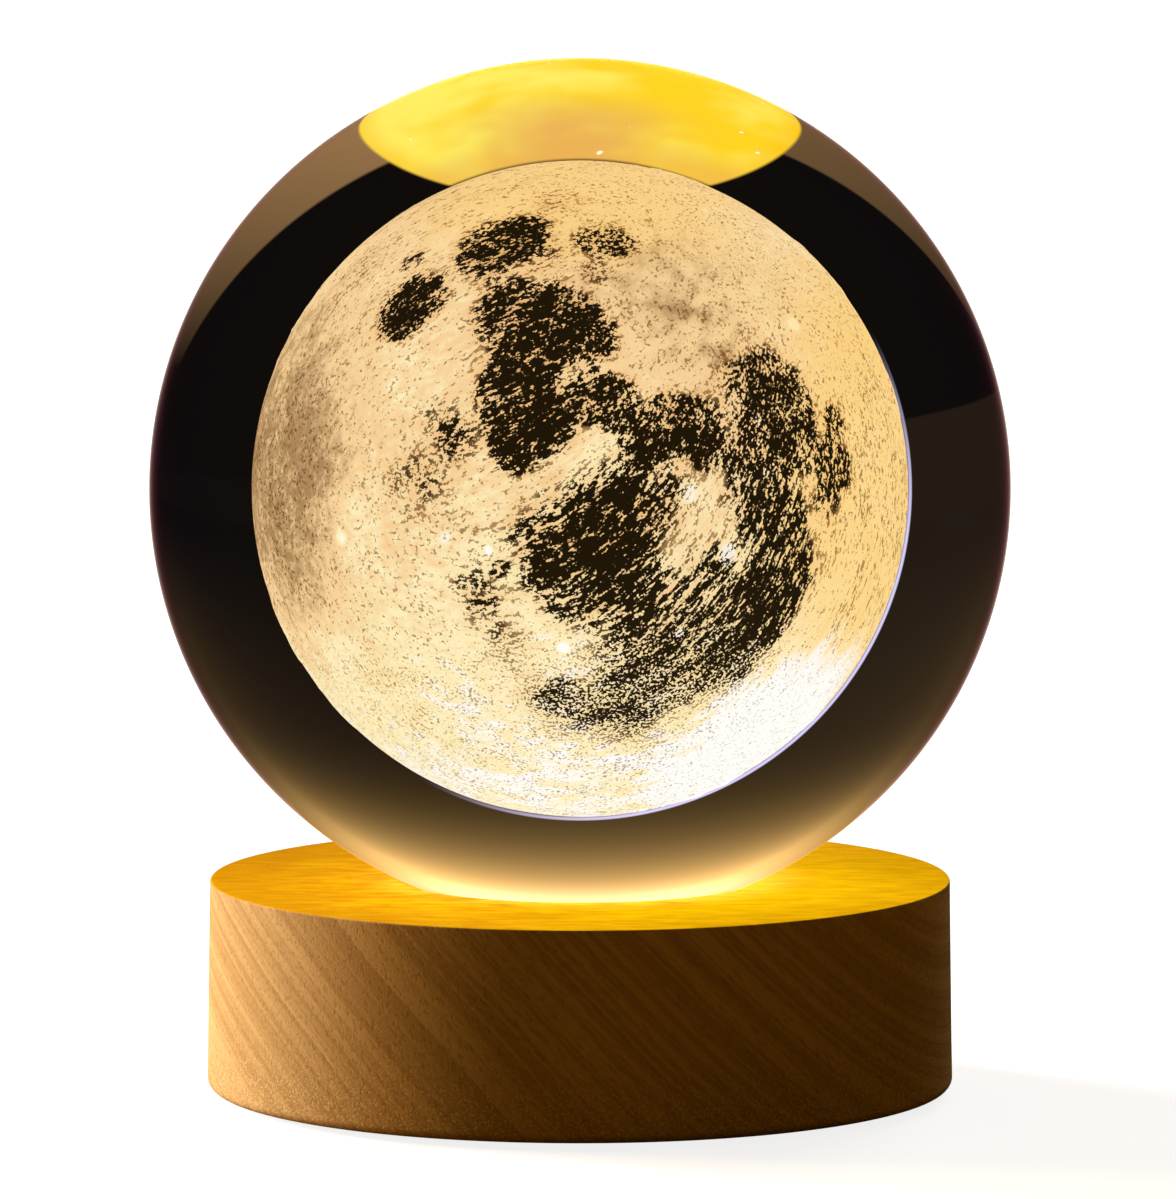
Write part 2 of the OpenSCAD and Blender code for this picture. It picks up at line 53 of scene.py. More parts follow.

# %% [markdown]
# ## Places that the whole lesson uses
#
# Every place comes from the frame. The ball's box gives its centre and radius, and the wood's box
# gives the height of the top where light is painted.

# %% Places
ball_low, ball_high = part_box("crystal_ball")
BALL_CENTRE = (ball_low + ball_high) / 2
BALL_R = (ball_high.z - ball_low.z) / 2
moon_low, moon_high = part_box("engraved_moon")
MOON_R = (moon_high.z - moon_low.z) / 2
WOOD_TOP_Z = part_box("wooden_base")[1].z
WOOD_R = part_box("wooden_base")[1].x
SEAT_R = math.sqrt(BALL_R**2 - (BALL_CENTRE.z - WOOD_TOP_Z) ** 2)
print("radii of ball, moon and seat:", [round(r, 4) for r in (BALL_R, MOON_R, SEAT_R)])

# %% [markdown]
# ## The camera
#
# A long lens from nearly a metre away looks 6.25 degrees down on the lamp. These four numbers were
# found by fitting the outlines of the ball and of the base, so the perspective of the picture is
# the perspective of the lens, and no shift is needed.

# %% Camera
CAMERA_DISTANCE = 0.900
CAMERA_RISE = math.radians(6.25)
CAMERA_TARGET = Vector((0.75 * MM, 0, 46.15 * MM))
LENS_MM = 290.5
SENSOR_MM = 36.0

scene = bpy.context.scene
camera_data = bpy.data.cameras.new("camera")
camera_data.lens = LENS_MM
camera_data.sensor_width = SENSOR_MM
camera = bpy.data.objects.new("camera", camera_data)
scene.collection.objects.link(camera)
away = Vector((0, -math.cos(CAMERA_RISE), math.sin(CAMERA_RISE)))
camera.location = CAMERA_TARGET + CAMERA_DISTANCE * away
camera.rotation_euler = (-away).to_track_quat("-Z", "Y").to_euler()
scene.camera = camera
scene.view_settings.view_transform = "Standard"
print("camera at", [round(v, 4) for v in camera.location])

# %% [markdown]
# ## Helpers for shader trees
#
# A finish is a tree of small nodes. Written out in full, each node takes five lines, so these
# helpers make a node, set it and connect it in one. A value that is a socket is linked, and any
# other value is typed into the node.

# %% Helpers for nodes
def feed(tree, value, socket):
    """Links value to socket if it is a socket, or else sets it there."""
    if isinstance(value, bpy.types.NodeSocket):
        tree.links.new(value, socket)
    else:
        socket.default_value = value


def feed_all(tree, sockets, values):
    """Feeds each value to the socket of its name or place."""
    for key, value in values.items():
        feed(tree, value, sockets[key])


def put(tree, kind, inputs=None, **settings):
    """One node with its settings, and its inputs by name or place."""
    node = tree.nodes.new("ShaderNode" + kind)
    for name, value in settings.items():
        setattr(node, name, value)
    feed_all(tree, node.inputs, inputs or {})
    return node


def calc(tree, operation, *values):
    """The result of one Math node."""
    return put(tree, "Math", dict(enumerate(values)), operation=operation).outputs[0]


def times(tree, product, *values):
    """The product of two or more numbers."""
    for value in values:
        product = calc(tree, "MULTIPLY", product, value)
    return product


def swayed(tree, value, cloud, amount):
    """value, pushed up and down by a noise with 0.5 as its middle."""
    return calc(tree, "MULTIPLY_ADD", calc(tree, "SUBTRACT", cloud, 0.5), amount, value)


def calc_vector(tree, operation, *values):
    """The result of one Vector Math node, which is a number for a length or a dot product."""
    node = put(tree, "VectorMath", dict(enumerate(values)), operation=operation)
    is_number = operation in ("DOT_PRODUCT", "LENGTH", "DISTANCE")
    return node.outputs["Value" if is_number else "Vector"]


def scaled(tree, vector, number):
    """A vector or colour times a number."""
    node = put(tree, "VectorMath", {0: vector, "Scale": number}, operation="SCALE")
    return node.outputs["Vector"]


def ramp(tree, value, start, end, low=0.0, high=1.0, smooth=True):
    """value, moved from the range start to end into the range low to high."""
    inputs = {"Value": value, "From Min": start, "From Max": end, "To Min": low, "To Max": high}
    kind = "SMOOTHSTEP" if smooth else "LINEAR"
    return put(tree, "MapRange", inputs, interpolation_type=kind).outputs["Result"]


def blend(tree, share, first, second):
    """The first colour at share 0, and the second at 1."""
    return put(tree, "Mix", {"Factor": share, 6: first, 7: second}, data_type="RGBA").outputs[2]


def noise(tree, vector, scale, detail=2.0, roughness=0.5):
    """Cloudy noise from 0 to 1."""
    inputs = {"Vector": vector, "Scale": scale, "Detail": detail, "Roughness": roughness}
    return put(tree, "TexNoise", inputs).outputs[0]


def rgb(red, green, blue):
    """An opaque colour, for a socket."""
    return (red, green, blue, 1.0)


# %% Helpers for groups and materials
KINDS = {"number": "NodeSocketFloat", "vector": "NodeSocketVector", "colour": "NodeSocketColor"}


def new_group(name, takes, gives):
    """A node group with named sockets: its tree, what comes in and what goes out."""
    tree = bpy.data.node_groups.new(name, "ShaderNodeTree")
    for label, kind, value in takes:
        socket = tree.interface.new_socket(label, in_out="INPUT", socket_type=KINDS[kind])
        if value is not None:
            socket.default_value = value
    for label, kind in gives:
        tree.interface.new_socket(label, in_out="OUTPUT", socket_type=KINDS[kind])
    source = tree.nodes.new("NodeGroupInput")
    sink = tree.nodes.new("NodeGroupOutput")
    return tree, source.outputs, sink.inputs


def use(tree, group, inputs):
    """The outputs of a group placed in a material with its own values."""
    node = tree.nodes.new("ShaderNodeGroup")
    node.node_tree = group
    feed_all(tree, node.inputs, inputs)
    return node.outputs


def new_finish(name):
    """A material with one Principled shader: the material, its tree and the shader's inputs."""
    material = bpy.data.materials.new(name)
    material.use_nodes = True
    tree = material.node_tree
    shader = tree.nodes["Principled BSDF"]
    return material, tree, shader.inputs


def own_place(tree):
    """The point on the surface in the piece's own metres, so that a finish moves with its piece."""
    return put(tree, "TexCoord").outputs["Object"]


def bump(tree, height, distance, strength=1.0, under=None):
    """A normal for a relief of this height in metres."""
    inputs = {"Height": height, "Distance": distance, "Strength": strength}
    if under is not None:
        inputs["Normal"] = under
    return put(tree, "Bump", inputs).outputs["Normal"]


# %% [markdown]
# ## The studio
#
# The lamp stands on a plain white floor in a white room. White comes from the material and not
# from the lamps: a ray that comes from the camera, or off or through glass and metal, meets
# white, and a ray that lights the lamp meets a dim, warm room. One soft warm sun far to the left
# lights the left of the wood, a cooler one further round whitens its edge, and a weak one from
# behind serves the views of the back.

# %% Rays that see the white room
def sees_white(tree):
    """1 for a ray from the camera, off a glossy surface or through glass, or else 0."""
    path = put(tree, "LightPath").outputs
    seen = calc(tree, "MAXIMUM", path["Is Camera Ray"], path["Is Glossy Ray"])
    return calc(tree, "MAXIMUM", seen, path["Is Transmission Ray"])


# %% World
ROOM_LIGHT = 0.10
ROOM_COLOUR = rgb(1.0, 0.60, 0.06)
world = bpy.data.worlds.new("room")
world.use_nodes = True
scene.world = world
room = world.node_tree
white = sees_white(room)
background = room.nodes["Background"].inputs
feed(room, ramp(room, white, 0, 1, ROOM_LIGHT, 1.0, smooth=False), background["Strength"])
feed(room, blend(room, white, ROOM_COLOUR, rgb(1, 1, 1)), background["Color"])

# %% Floor
FLOOR_HALF = 4.0
FLOOR_GLOW = 0.84
TABLE_FOR_LIGHT, TABLE_AS_SEEN = rgb(0.14, 0.08, 0.02), rgb(0.5, 0.5, 0.5)
floor_mesh = bpy.data.meshes.new("floor")
corners = [(x * FLOOR_HALF, y * FLOOR_HALF, 0) for x, y in ((-1, -1), (1, -1), (1, 1), (-1, 1))]
floor_mesh.from_pydata(corners, [], [(0, 1, 2, 3)])
floor = bpy.data.objects.new("floor", floor_mesh)
scene.collection.objects.link(floor)
floor_finish, tree, shader = new_finish("floor_white")
feed_all(tree, shader, {
    "Base Color": blend(tree, sees_white(tree), TABLE_FOR_LIGHT, TABLE_AS_SEEN),
    "Roughness": 1.0,
    "Specular IOR Level": 0.0,
    "Emission Color": rgb(1, 1, 1),
    "Emission Strength": times(tree, sees_white(tree), FLOOR_GLOW),
})
floor_mesh.materials.append(floor_finish)


# %% Lamps
def add_sun(name, azimuth, rise, strength, softness, colour):
    """A sun seen at this azimuth (0 is behind the camera, negative is to its left), in degrees."""
    data = bpy.data.lights.new(name, "SUN")
    data.energy = strength
    data.angle = math.radians(softness)
    data.color = colour
    lamp = bpy.data.objects.new(name, data)
    scene.collection.objects.link(lamp)
    turn, lift = math.radians(azimuth), math.radians(rise)
    towards = Vector((
        math.sin(turn) * math.cos(lift),
        -math.cos(turn) * math.cos(lift),
        math.sin(lift),
    ))
    lamp.rotation_euler = towards.to_track_quat("Z", "Y").to_euler()
    lamp.visible_glossy = False
    lamp.visible_transmission = False


add_sun("key", azimuth=-108, rise=14, strength=3.8, softness=22, colour=(1.0, 0.70, 0.32))
add_sun("edge", azimuth=-125, rise=16, strength=6.0, softness=20, colour=(0.74, 0.88, 1.0))
add_sun("back", azimuth=160, rise=25, strength=0.9, softness=30, colour=(1.0, 0.96, 0.92))
print("floor, room and three suns")

# %% [markdown]
# ## The crystal ball
#
# The ball is one solid piece of glass, polished all over. In the CAD it has a hollow where the
# engraved layer sits, and light would turn back at that hollow, so the picture needs a ball
# without it: a fine sphere that stands for the CAD ball. The glass looks smoky because the room
# around the real lamp is dim; in a white room a deep tint gives the same look, so the tint and the
# weak gloss are painted shade. Principled glass tints light by the root of its colour each time
# that light crosses its skin. A thin clear coating, a quarter of a micrometre thick, keeps the edge
# of the ball from turning white.

# %% A smooth ball
def round_ball(name, radius, centre, fineness):
    """A sphere of even triangles, smooth shaded, with its origin at its centre."""
    shape = bmesh.new()
    bmesh.ops.create_icosphere(shape, subdivisions=fineness, radius=radius)
    for face in shape.faces:
        face.smooth = True
    mesh = bpy.data.meshes.new(name)
    shape.to_mesh(mesh)
    shape.free()
    ball = bpy.data.objects.new(name, mesh)
    ball.location = centre
    scene.collection.objects.link(ball)
    return ball


# %% Glass
# The tint and the gloss tint below are painted shade: the dim room, painted into the glass and its
# reflections.
PAINTED_SHADE_TINT = (0.0035, 0.0024, 0.0012)
PAINTED_SHADE_GLOSS = rgb(0.03, 0.02, 0.01)
GLASS_INDEX = 1.52
COATING_NM = 250.0
COATING_INDEX = 1.11

# %% [markdown]
# Light also reaches the eye by five ways that so deep a tint and so weak a gloss hide, so they are
# painted on the skin of the ball as a glow of its own: painted reflections and painted light. Low
# on the ball the lit wood is a painted reflection, stronger where the skin turns away from the eye.
# At the top the eye sees the wood after one mirror turn inside the ball, painted as a yellow cap,
# and geometry gives the height at which such a ray arrives from the angle between the skin and the
# eye: four times the angle inside the glass, less the angle outside, is how far it turns. Along the
# upper rim painted light stands for the light that the glass gathers from the table, and below the
# horizon of the room the ring is painted a little lighter. Round the moon a thin blue-white line is
# painted where the glass splits the light of its brightest limb. The layer weight node gives the
# angle, so the painted glow moves with the eye, and the cap is right only for an eye as high as the
# camera. Nearer to the middle than MOON_EDGE the moon hides it. Places on the skin are in ball radii.

# %% Measures and colours of the painted reflections and light on the skin
# Measures and colours of the painted reflections of the wood and of painted light on the rim, the
# ring and round the moon.
MOON_EDGE = 0.362
MIRROR_LIMIT = 0.26
MIRROR_PEAK, MIRROR_FALLOFF, MIRROR_HAZE = 7.7, 4.6, 0.17
CAP_LIMIT, CAP_LIMIT_SLOPE, CAP_BLUR = -0.828, 0.046, 0.003
RIM_STRENGTH = 0.30
LIT_LIMB, LIMB_STRENGTH = (0.70, 0.0, -0.71), 0.95
WOOD_LIGHT, LOWEST_WOOD_LIGHT = rgb(1.0, 0.58, 0.18), rgb(1.0, 0.65, 0.27)
CAP_DEEP, CAP_PALE, CAP_EDGE = rgb(1.0, 0.66, 0.014), rgb(1.0, 0.85, 0.12), rgb(0.97, 0.55, 0.012)
CAP_FROSTED, CAP_GLINT = rgb(0.84, 0.45, 0.09), rgb(1.0, 0.96, 0.75)
RIM_LIGHT, ROOM_LIGHT_IN_GLASS, LIMB_LIGHT = (1.0, 0.56, 0.22), (1.0, 0.60, 0.26), (0.72, 0.66, 1.0)


# %% Parts of the painted reflections and light on the skin
def painted_wood_reflection(tree, axes, cosine):
    """A painted reflection of the lit wood on the outside of the ball, low down."""
    steep = put(tree, "Fresnel", {"IOR": GLASS_INDEX}).outputs[0]
    steep = calc(tree, "MINIMUM", steep, MIRROR_LIMIT)
    steep = times(tree, steep, ramp(tree, cosine, 0.02, 0.28, 0.50, 1.06))
    low = ramp(tree, axes["Z"], -0.30, -0.90, smooth=False)
    level = times(tree, calc(tree, "POWER", low, MIRROR_FALLOFF), MIRROR_PEAK)
    level = calc(tree, "ADD", level, ramp(tree, axes["Z"], 0.0, -0.55, 0.0, MIRROR_HAZE))
    shade = blend(tree, ramp(tree, axes["Z"], -0.84, -0.90), WOOD_LIGHT, LOWEST_WOOD_LIGHT)
    return scaled(tree, shade, times(tree, level, steep))


def arrival_height(tree, axes, cosine):
    """Where a ray from the eye arrives after one mirror turn in the ball: -1 is the lowest point."""
    sine = calc(tree, "SQRT", calc(tree, "SUBTRACT", 1.0, times(tree, cosine, cosine)))
    inside = calc(tree, "ARCSINE", calc(tree, "DIVIDE", sine, GLASS_INDEX))
    outside = times(tree, calc(tree, "ARCCOSINE", cosine), -1)
    turn = calc(tree, "MULTIPLY_ADD", inside, 4.0, outside)
    across = calc(tree, "DIVIDE", calc(tree, "SINE", turn), sine)
    along = calc(tree, "MULTIPLY_ADD", across, cosine, calc(tree, "COSINE", turn))
    seen = times(tree, along, math.sin(CAMERA_RISE))
    return calc(tree, "SUBTRACT", seen, times(tree, axes["Z"], across))


def painted_reflection_cap(tree, spot, axes, cosine):
    """A painted reflection of the wood, as seen after a mirror turn inside the ball: its mask and its
    colour.
    """
    arrival = arrival_height(tree, axes, cosine)
    limit = calc(tree, "MULTIPLY_ADD", cosine, CAP_LIMIT_SLOPE, CAP_LIMIT)
    within = calc(tree, "SUBTRACT", limit, arrival)
    mask = ramp(tree, within, -CAP_BLUR, CAP_BLUR)
    cloud = noise(tree, calc_vector(tree, "MULTIPLY", spot, (1.0, 1.0, 2.0)), 3.4, 2.0, 0.55)
    cloud = calc(tree, "MULTIPLY_ADD", axes["X"], -0.22, cloud)
    yellow = blend(tree, ramp(tree, cloud, 0.38, 0.68), CAP_DEEP, CAP_PALE)
    yellow = blend(tree, ramp(tree, within, 0.0, 0.035, 0.6, 0.0), yellow, CAP_EDGE)
    middle = calc(tree, "ABSOLUTE", calc(tree, "ADD", axes["X"], 0.05))
    middle = swayed(tree, middle, cloud, 0.5)
    frosted = times(tree, ramp(tree, middle, 0.33, 0.06), ramp(tree, cosine, 0.36, 0.56))
    frosted = calc(tree, "MAXIMUM", frosted, ramp(tree, cosine, 0.52, 0.62, 0.0, 0.55))
    yellow = blend(tree, frosted, yellow, CAP_FROSTED)
    # Tiny painted glints in the cap.
    painted_glint = ramp(tree, noise(tree, spot, 34.0, 1.0), 0.765, 0.80)
    return mask, blend(tree, painted_glint, yellow, CAP_GLINT)


def painted_rim_light(tree, axes, cosine):
    """Painted light: the table's light gathered along the upper rim, with a crisp inner edge: a
    number.
    """
    edge = calc(tree, "MULTIPLY_ADD", axes["Z"], 0.61, -0.025)
    edge = calc(tree, "MULTIPLY_ADD", axes["X"], -0.08, edge)
    band = ramp(tree, calc(tree, "SUBTRACT", edge, cosine), 0.0, 0.02)
    high = ramp(tree, axes["Z"], 0.30, 0.85, 0.0, RIM_STRENGTH, smooth=False)
    leftward = ramp(tree, axes["X"], -0.3, 0.3, 1.0, 0.5)
    return times(tree, band, high, leftward, ramp(tree, cosine, 0.0, 0.2, 0.45, 1.0))


def painted_room_light(tree, axes):
    """Painted room light below the horizon: the lower part of the ring slightly lighter, most of all
    on the right: a number.
    """
    tilted = calc(tree, "MULTIPLY_ADD", axes["X"], -0.09, axes["Z"])
    under = ramp(tree, tilted, 0.158, 0.150)
    return times(tree, under, ramp(tree, axes["X"], -0.6, 0.6, 0.001, 0.013))


def painted_moon_fringe(tree, spot, facing):
    """The thin blue-white line that the glass draws round the lit limb of the moon, painted on the
    skin: a number.
    """
    line = ramp(tree, facing, MOON_EDGE - 0.012, MOON_EDGE - 0.005)
    line = times(tree, line, ramp(tree, facing, MOON_EDGE + 0.002, MOON_EDGE - 0.002))
    lit_side = calc_vector(tree, "DOT_PRODUCT", spot, LIT_LIMB)
    return times(tree, line, ramp(tree, lit_side, 0.15, 0.60, 0.0, LIMB_STRENGTH))


# %% Clear glass
def painted_skin_glow(tree):
    """All the painted reflections and painted light on the skin: the wood, the table, the room and
    the moon's limb, as a colour.
    """
    spot = scaled(tree, own_place(tree), 1 / BALL_R)
    axes = put(tree, "SeparateXYZ", {0: spot}).outputs
    facing = put(tree, "LayerWeight", {"Blend": 0.5}).outputs["Facing"]
    cosine = calc(tree, "SUBTRACT", 1.0, facing)
    ring = ramp(tree, facing, MOON_EDGE - 0.012, MOON_EDGE)
    cap, cap_colour = painted_reflection_cap(tree, spot, axes, cosine)
    glow = painted_wood_reflection(tree, axes, cosine)
    for light, level in (
        (RIM_LIGHT, painted_rim_light(tree, axes, cosine)),
        (ROOM_LIGHT_IN_GLASS, times(tree, painted_room_light(tree, axes), ring)),
        (LIMB_LIGHT, painted_moon_fringe(tree, spot, facing)),
    ):
        glow = calc_vector(tree, "ADD", glow, scaled(tree, light, level))
    return blend(tree, times(tree, cap, ring), glow, cap_colour)


def clear_glass():
    """Polished crystal with a deep warm tint of painted shade, a thin coating, and painted
    reflections and light glowing on its skin.
    """
    material, tree, shader = new_finish("crystal")
    outside = calc(tree, "SUBTRACT", 1.0, put(tree, "NewGeometry").outputs["Backfacing"])
    feed_all(tree, shader, {
        "Base Color": rgb(*PAINTED_SHADE_TINT),
        "Transmission Weight": 1.0,
        "Roughness": 0.0,
        "IOR": GLASS_INDEX,
        "Specular Tint": PAINTED_SHADE_GLOSS,
        "Thin Film Thickness": COATING_NM,
        "Thin Film IOR": COATING_INDEX,
        # The emission is painted reflections and painted light on the skin.
        "Emission Color": painted_skin_glow(tree),
        "Emission Strength": outside,
    })
    material.cycles.emission_sampling = "NONE"
    return material


polished_ball = round_ball("polished_ball", BALL_R, BALL_CENTRE, fineness=7)
polished_ball.data.materials.append(clear_glass())
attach(polished_ball, "crystal")
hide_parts("crystal_ball")
print("ball of", len(polished_ball.data.polygons), "faces")

# %% [markdown]
# ## The map of the moon
#
# The engraving copies the real moon, and anyone who has looked up knows its face. The lamp shows it
# turned so that the Sea of Crises stands at the upper left. Each dark plain is built from a few
# round patches: how far right of and above the middle of the disc they lie, how far they reach,
# all in radii of the disc as the eye sees it, and how dark they are. The ball is a strong lens, so
# the eye sees a little more than half of the moon. A ray that reaches the edge of the disc has
# been bent round by about 20 degrees, and on_moon follows that ray back to the engraving.

# %% The dark plains of the near side
NEAR_SIDE = {
    "crisium": [(-0.50, 0.55, 0.12, 1.4), (-0.54, 0.51, 0.09, 0.9)],
    "undarum": [(-0.62, 0.70, 0.10, 0.15), (-0.70, 0.58, 0.12, 0.12), (-0.50, 0.68, 0.05, 0.5)],
    "fecunditatis": [(-0.25, 0.73, 0.13, 1.0), (-0.17, 0.76, 0.10, 0.9), (-0.28, 0.67, 0.09, 0.7),
                     (-0.06, 0.86, 0.08, 0.25), (-0.12, 0.69, 0.09, 0.4)],
    "tranquillitatis": [(-0.21, 0.53, 0.13, 0.9), (-0.08, 0.49, 0.14, 1.7), (0.01, 0.45, 0.11, 1.2),
                        (-0.15, 0.39, 0.12, 1.2), (-0.23, 0.45, 0.08, 0.4)],
    "nectaris": [(0.07, 0.735, 0.09, 0.8), (0.13, 0.72, 0.06, 0.3), (0.05, 0.64, 0.06, 0.4)],
    "serenitatis": [(-0.20, 0.29, 0.13, 0.95), (-0.15, 0.20, 0.14, 1.9), (-0.25, 0.23, 0.09, 0.4),
                    (-0.19, 0.11, 0.09, 0.9)],
    "somniorum": [(-0.42, 0.21, 0.08, 0.35), (-0.36, 0.14, 0.08, 0.45), (-0.50, 0.00, 0.12, 0.3),
                  (-0.43, 0.05, 0.10, 0.2)],
    "vaporum": [(0.08, 0.25, 0.10, 1.7), (0.01, 0.31, 0.06, 0.5), (0.14, 0.18, 0.07, 0.6)],
    "medii": [(0.24, 0.17, 0.10, 1.1), (0.33, 0.18, 0.10, 0.9), (0.27, 0.25, 0.05, 0.6),
              (0.38, 0.11, 0.07, 1.0), (0.18, 0.12, 0.07, 1.1)],
    "nubium": [(0.55, 0.33, 0.13, 0.55), (0.62, 0.26, 0.12, 0.8), (0.47, 0.27, 0.11, 0.5),
               (0.56, 0.12, 0.12, 1.0), (0.66, 0.12, 0.11, 0.6), (0.48, 0.12, 0.10, 0.4)],
    "humorum": [(0.77, 0.06, 0.09, 0.9), (0.76, 0.19, 0.06, 0.6), (0.74, -0.04, 0.08, 0.5)],
    "imbrium": [(-0.02, -0.12, 0.17, 0.6), (0.03, -0.24, 0.19, 0.95), (-0.10, -0.24, 0.14, 0.4),
                (0.10, -0.13, 0.15, 0.6), (0.10, 0.00, 0.12, 0.5), (0.16, -0.28, 0.14, 0.55),
                (-0.17, -0.15, 0.09, 0.3), (-0.02, -0.36, 0.10, 0.4)],
    "insularum": [(0.52, -0.02, 0.13, 0.8), (0.59, -0.10, 0.13, 0.9), (0.61, -0.25, 0.14, 0.9),
                  (0.22, -0.04, 0.16, 0.45), (0.40, -0.28, 0.16, 0.6)],
    "procellarum": [(0.57, -0.36, 0.14, 0.65), (0.47, -0.46, 0.17, 0.7), (0.34, -0.54, 0.18, 0.5),
                    (0.20, -0.58, 0.17, 0.35), (0.07, -0.62, 0.15, 0.4), (0.24, -0.43, 0.15, 0.4),
                    (0.10, -0.47, 0.11, 0.3), (0.14, -0.71, 0.11, 0.35)],
    "roris": [(-0.03, -0.67, 0.12, 0.4), (-0.11, -0.62, 0.10, 0.3)],
    "frigoris": [(-0.31, -0.30, 0.10, 0.45), (-0.28, -0.39, 0.08, 0.3), (-0.24, -0.245, 0.03, 1.3),
                 (-0.20, -0.48, 0.10, 0.25), (-0.36, -0.14, 0.09, 0.2)],
}
# The far side has few plains: right, up, reach and darkness again, seen from the back.
FAR_SIDE = {
    "moscoviense": [(-0.35, 0.25, 0.09, 0.9)],
    "ingenii": [(0.30, -0.30, 0.09, 0.7), (0.42, -0.38, 0.06, 0.6)],
    "orientale": [(0.72, 0.28, 0.08, 0.8), (0.62, 0.36, 0.05, 0.5)],
    "australe": [(-0.10, -0.78, 0.14, 0.6), (0.12, -0.84, 0.10, 0.5)],
}
# Old, battered highlands look duller: right, up, reach and how dull, seen from the front and back.
DULL_FRONT = [(0.28, 0.53, 0.24, 0.9), (0.44, 0.40, 0.18, 0.7), (0.22, 0.74, 0.14, 0.5),
              (0.12, 0.36, 0.07, 0.5), (0.34, -0.06, 0.15, 0.6), (0.60, 0.60, 0.16, 0.3),
              (-0.56, -0.60, 0.16, 0.5), (-0.70, -0.36, 0.16, 0.4), (-0.80, 0.30, 0.16, 0.3)]
DULL_BACK = [(0.0, 0.1, 0.40, 0.6), (0.3, 0.6, 0.25, 0.7), (-0.5, -0.3, 0.28, 0.7)]
# Young craters with bright dust round them, on the near side
BRIGHT_CRATERS = [
    (0.64, 0.49, 0.035), (0.325, -0.02, 0.05), (-0.40, -0.155, 0.03), (-0.715, -0.15, 0.035),
    (0.44, -0.20, 0.05), (0.56, 0.04, 0.025), (-0.27, -0.19, 0.02), (0.30, -0.44, 0.025),
    (-0.05, -0.48, 0.03), (0.53, 0.20, 0.02),
]
LENS_STRETCH = 1 + (GLASS_INDEX - 1) * MOON_R / BALL_R
FRONT = (away, Vector((1, 0, 0)), Vector((0, math.sin(CAMERA_RISE), math.cos(CAMERA_RISE))))
BACK = (Vector((0, 1, 0)), Vector((-1, 0, 0)), Vector((0, 0, 1)))


def on_moon(right, up, view):
    """The direction from the moon's centre to a place seen on its disc from the front or back."""
    eye, across, upward = view
    apart = math.hypot(right, up)
    offset = apart * GLASS_INDEX * MOON_R
    turned = math.asin(offset / BALL_R) - math.asin(offset / (GLASS_INDEX * BALL_R))
    angle = math.asin(apart) + turned
    sideways = (right * across + up * upward).normalized()
    return math.cos(angle) * eye + math.sin(angle) * sideways


def placed(patches, view):
    """Patches of the disc, as they lie on the moon itself: direction, reach and depth."""
    return [(on_moon(right, up, view), reach * LENS_STRETCH, depth)
            for right, up, reach, depth in patches]


PLAINS = placed(sum(NEAR_SIDE.values(), []), FRONT) + placed(sum(FAR_SIDE.values(), []), BACK)
DULL = placed(DULL_FRONT, FRONT) + placed(DULL_BACK, BACK)
print(len(PLAINS), "patches, each", round(LENS_STRETCH, 3), "times wider than the lens shows it")

# %% [markdown]
# ## The engraved moon
#
# A laser draws the moon as a skin of tiny white dots inside the glass, dense on the bright
# highlands and nearly absent on the dark plains. The map group below turns the patches into a
# density from 0 to 1, with ragged edges, and the material then scatters dots by that density. The
# dots run into short streaks that rise to the right. Old highlands are duller than the rest, and
# the side that faces the light is so bright that its dots flow together. The dots are no lamp: the
# light of the board below, as they scatter it, is painted into their glow, brighter towards that
# light and low down, with painted shade at the left limb.

# %% Lunar map group
def lunar_map_group():
    """How dark, dull and cratered the moon is at a point on it."""
    takes = [("Vector", "vector", None), ("Raggedness", "number", 0.06)]
    gives = [("Plains", "number"), ("Dull", "number"), ("Craters", "number"), ("Direction", "vector")]
    tree, given, result = new_group("Lunar Map", takes, gives)
    direction = calc_vector(tree, "NORMALIZE", given["Vector"])
    coarse = {"Vector": direction, "Scale": 9.0, "Detail": 4.0, "Roughness": 0.65}
    coarse = put(tree, "TexNoise", coarse).outputs["Color"]
    shaken = calc_vector(tree, "SUBTRACT", coarse, (0.5, 0.5, 0.5))
    ragged = calc_vector(tree, "ADD", direction, scaled(tree, shaken, given["Raggedness"]))
    sums = []
    for patches, outer, inner in ((PLAINS, 1.25, 0.35), (DULL, 1.4, 0.3)):
        total = 0.0
        for place, reach, depth in patches:
            apart = calc_vector(tree, "DISTANCE", ragged, tuple(place))
            patch = ramp(tree, apart, reach * outer, reach * inner, 0.0, depth)
            total = calc(tree, "ADD", total, patch)
        sums.append(total)
    craters = 0.0
    for right, up, reach in BRIGHT_CRATERS:
        apart = calc_vector(tree, "DISTANCE", direction, tuple(on_moon(right, up, FRONT)))
        crater = ramp(tree, apart, reach * LENS_STRETCH, reach * 0.35)
        craters = calc(tree, "MAXIMUM", craters, crater)
    feed_all(tree, result, {
        "Plains": sums[0], "Dull": sums[1], "Craters": craters, "Direction": direction,
    })
    return tree


lunar_map = lunar_map_group()

# %% Measures and colours of the engraving
STREAK_TURN = math.radians(36)
STREAK_FAN = math.radians(-24)
STREAK_STRETCH = 0.36
TO_LIGHT = Vector((0.61, -0.11, -0.785)).normalized()
DENSEST, DOT_SOFTNESS = 0.92, (-0.06, 0.12)
DIM_BROWN, DIM_TAN = rgb(0.42, 0.24, 0.10), rgb(0.93, 0.64, 0.31)
CREAM, NEARLY_WHITE, GOLD = rgb(1.0, 0.86, 0.50), rgb(1.0, 0.985, 0.93), rgb(0.98, 0.64, 0.20)
PLAIN_DOT_WARMTH, BETWEEN_DOTS = (0.86, 0.62, 0.38), (0.45, 0.35, 0.26)
DEEP_PLAIN = rgb(0.012, 0.007, 0.002)


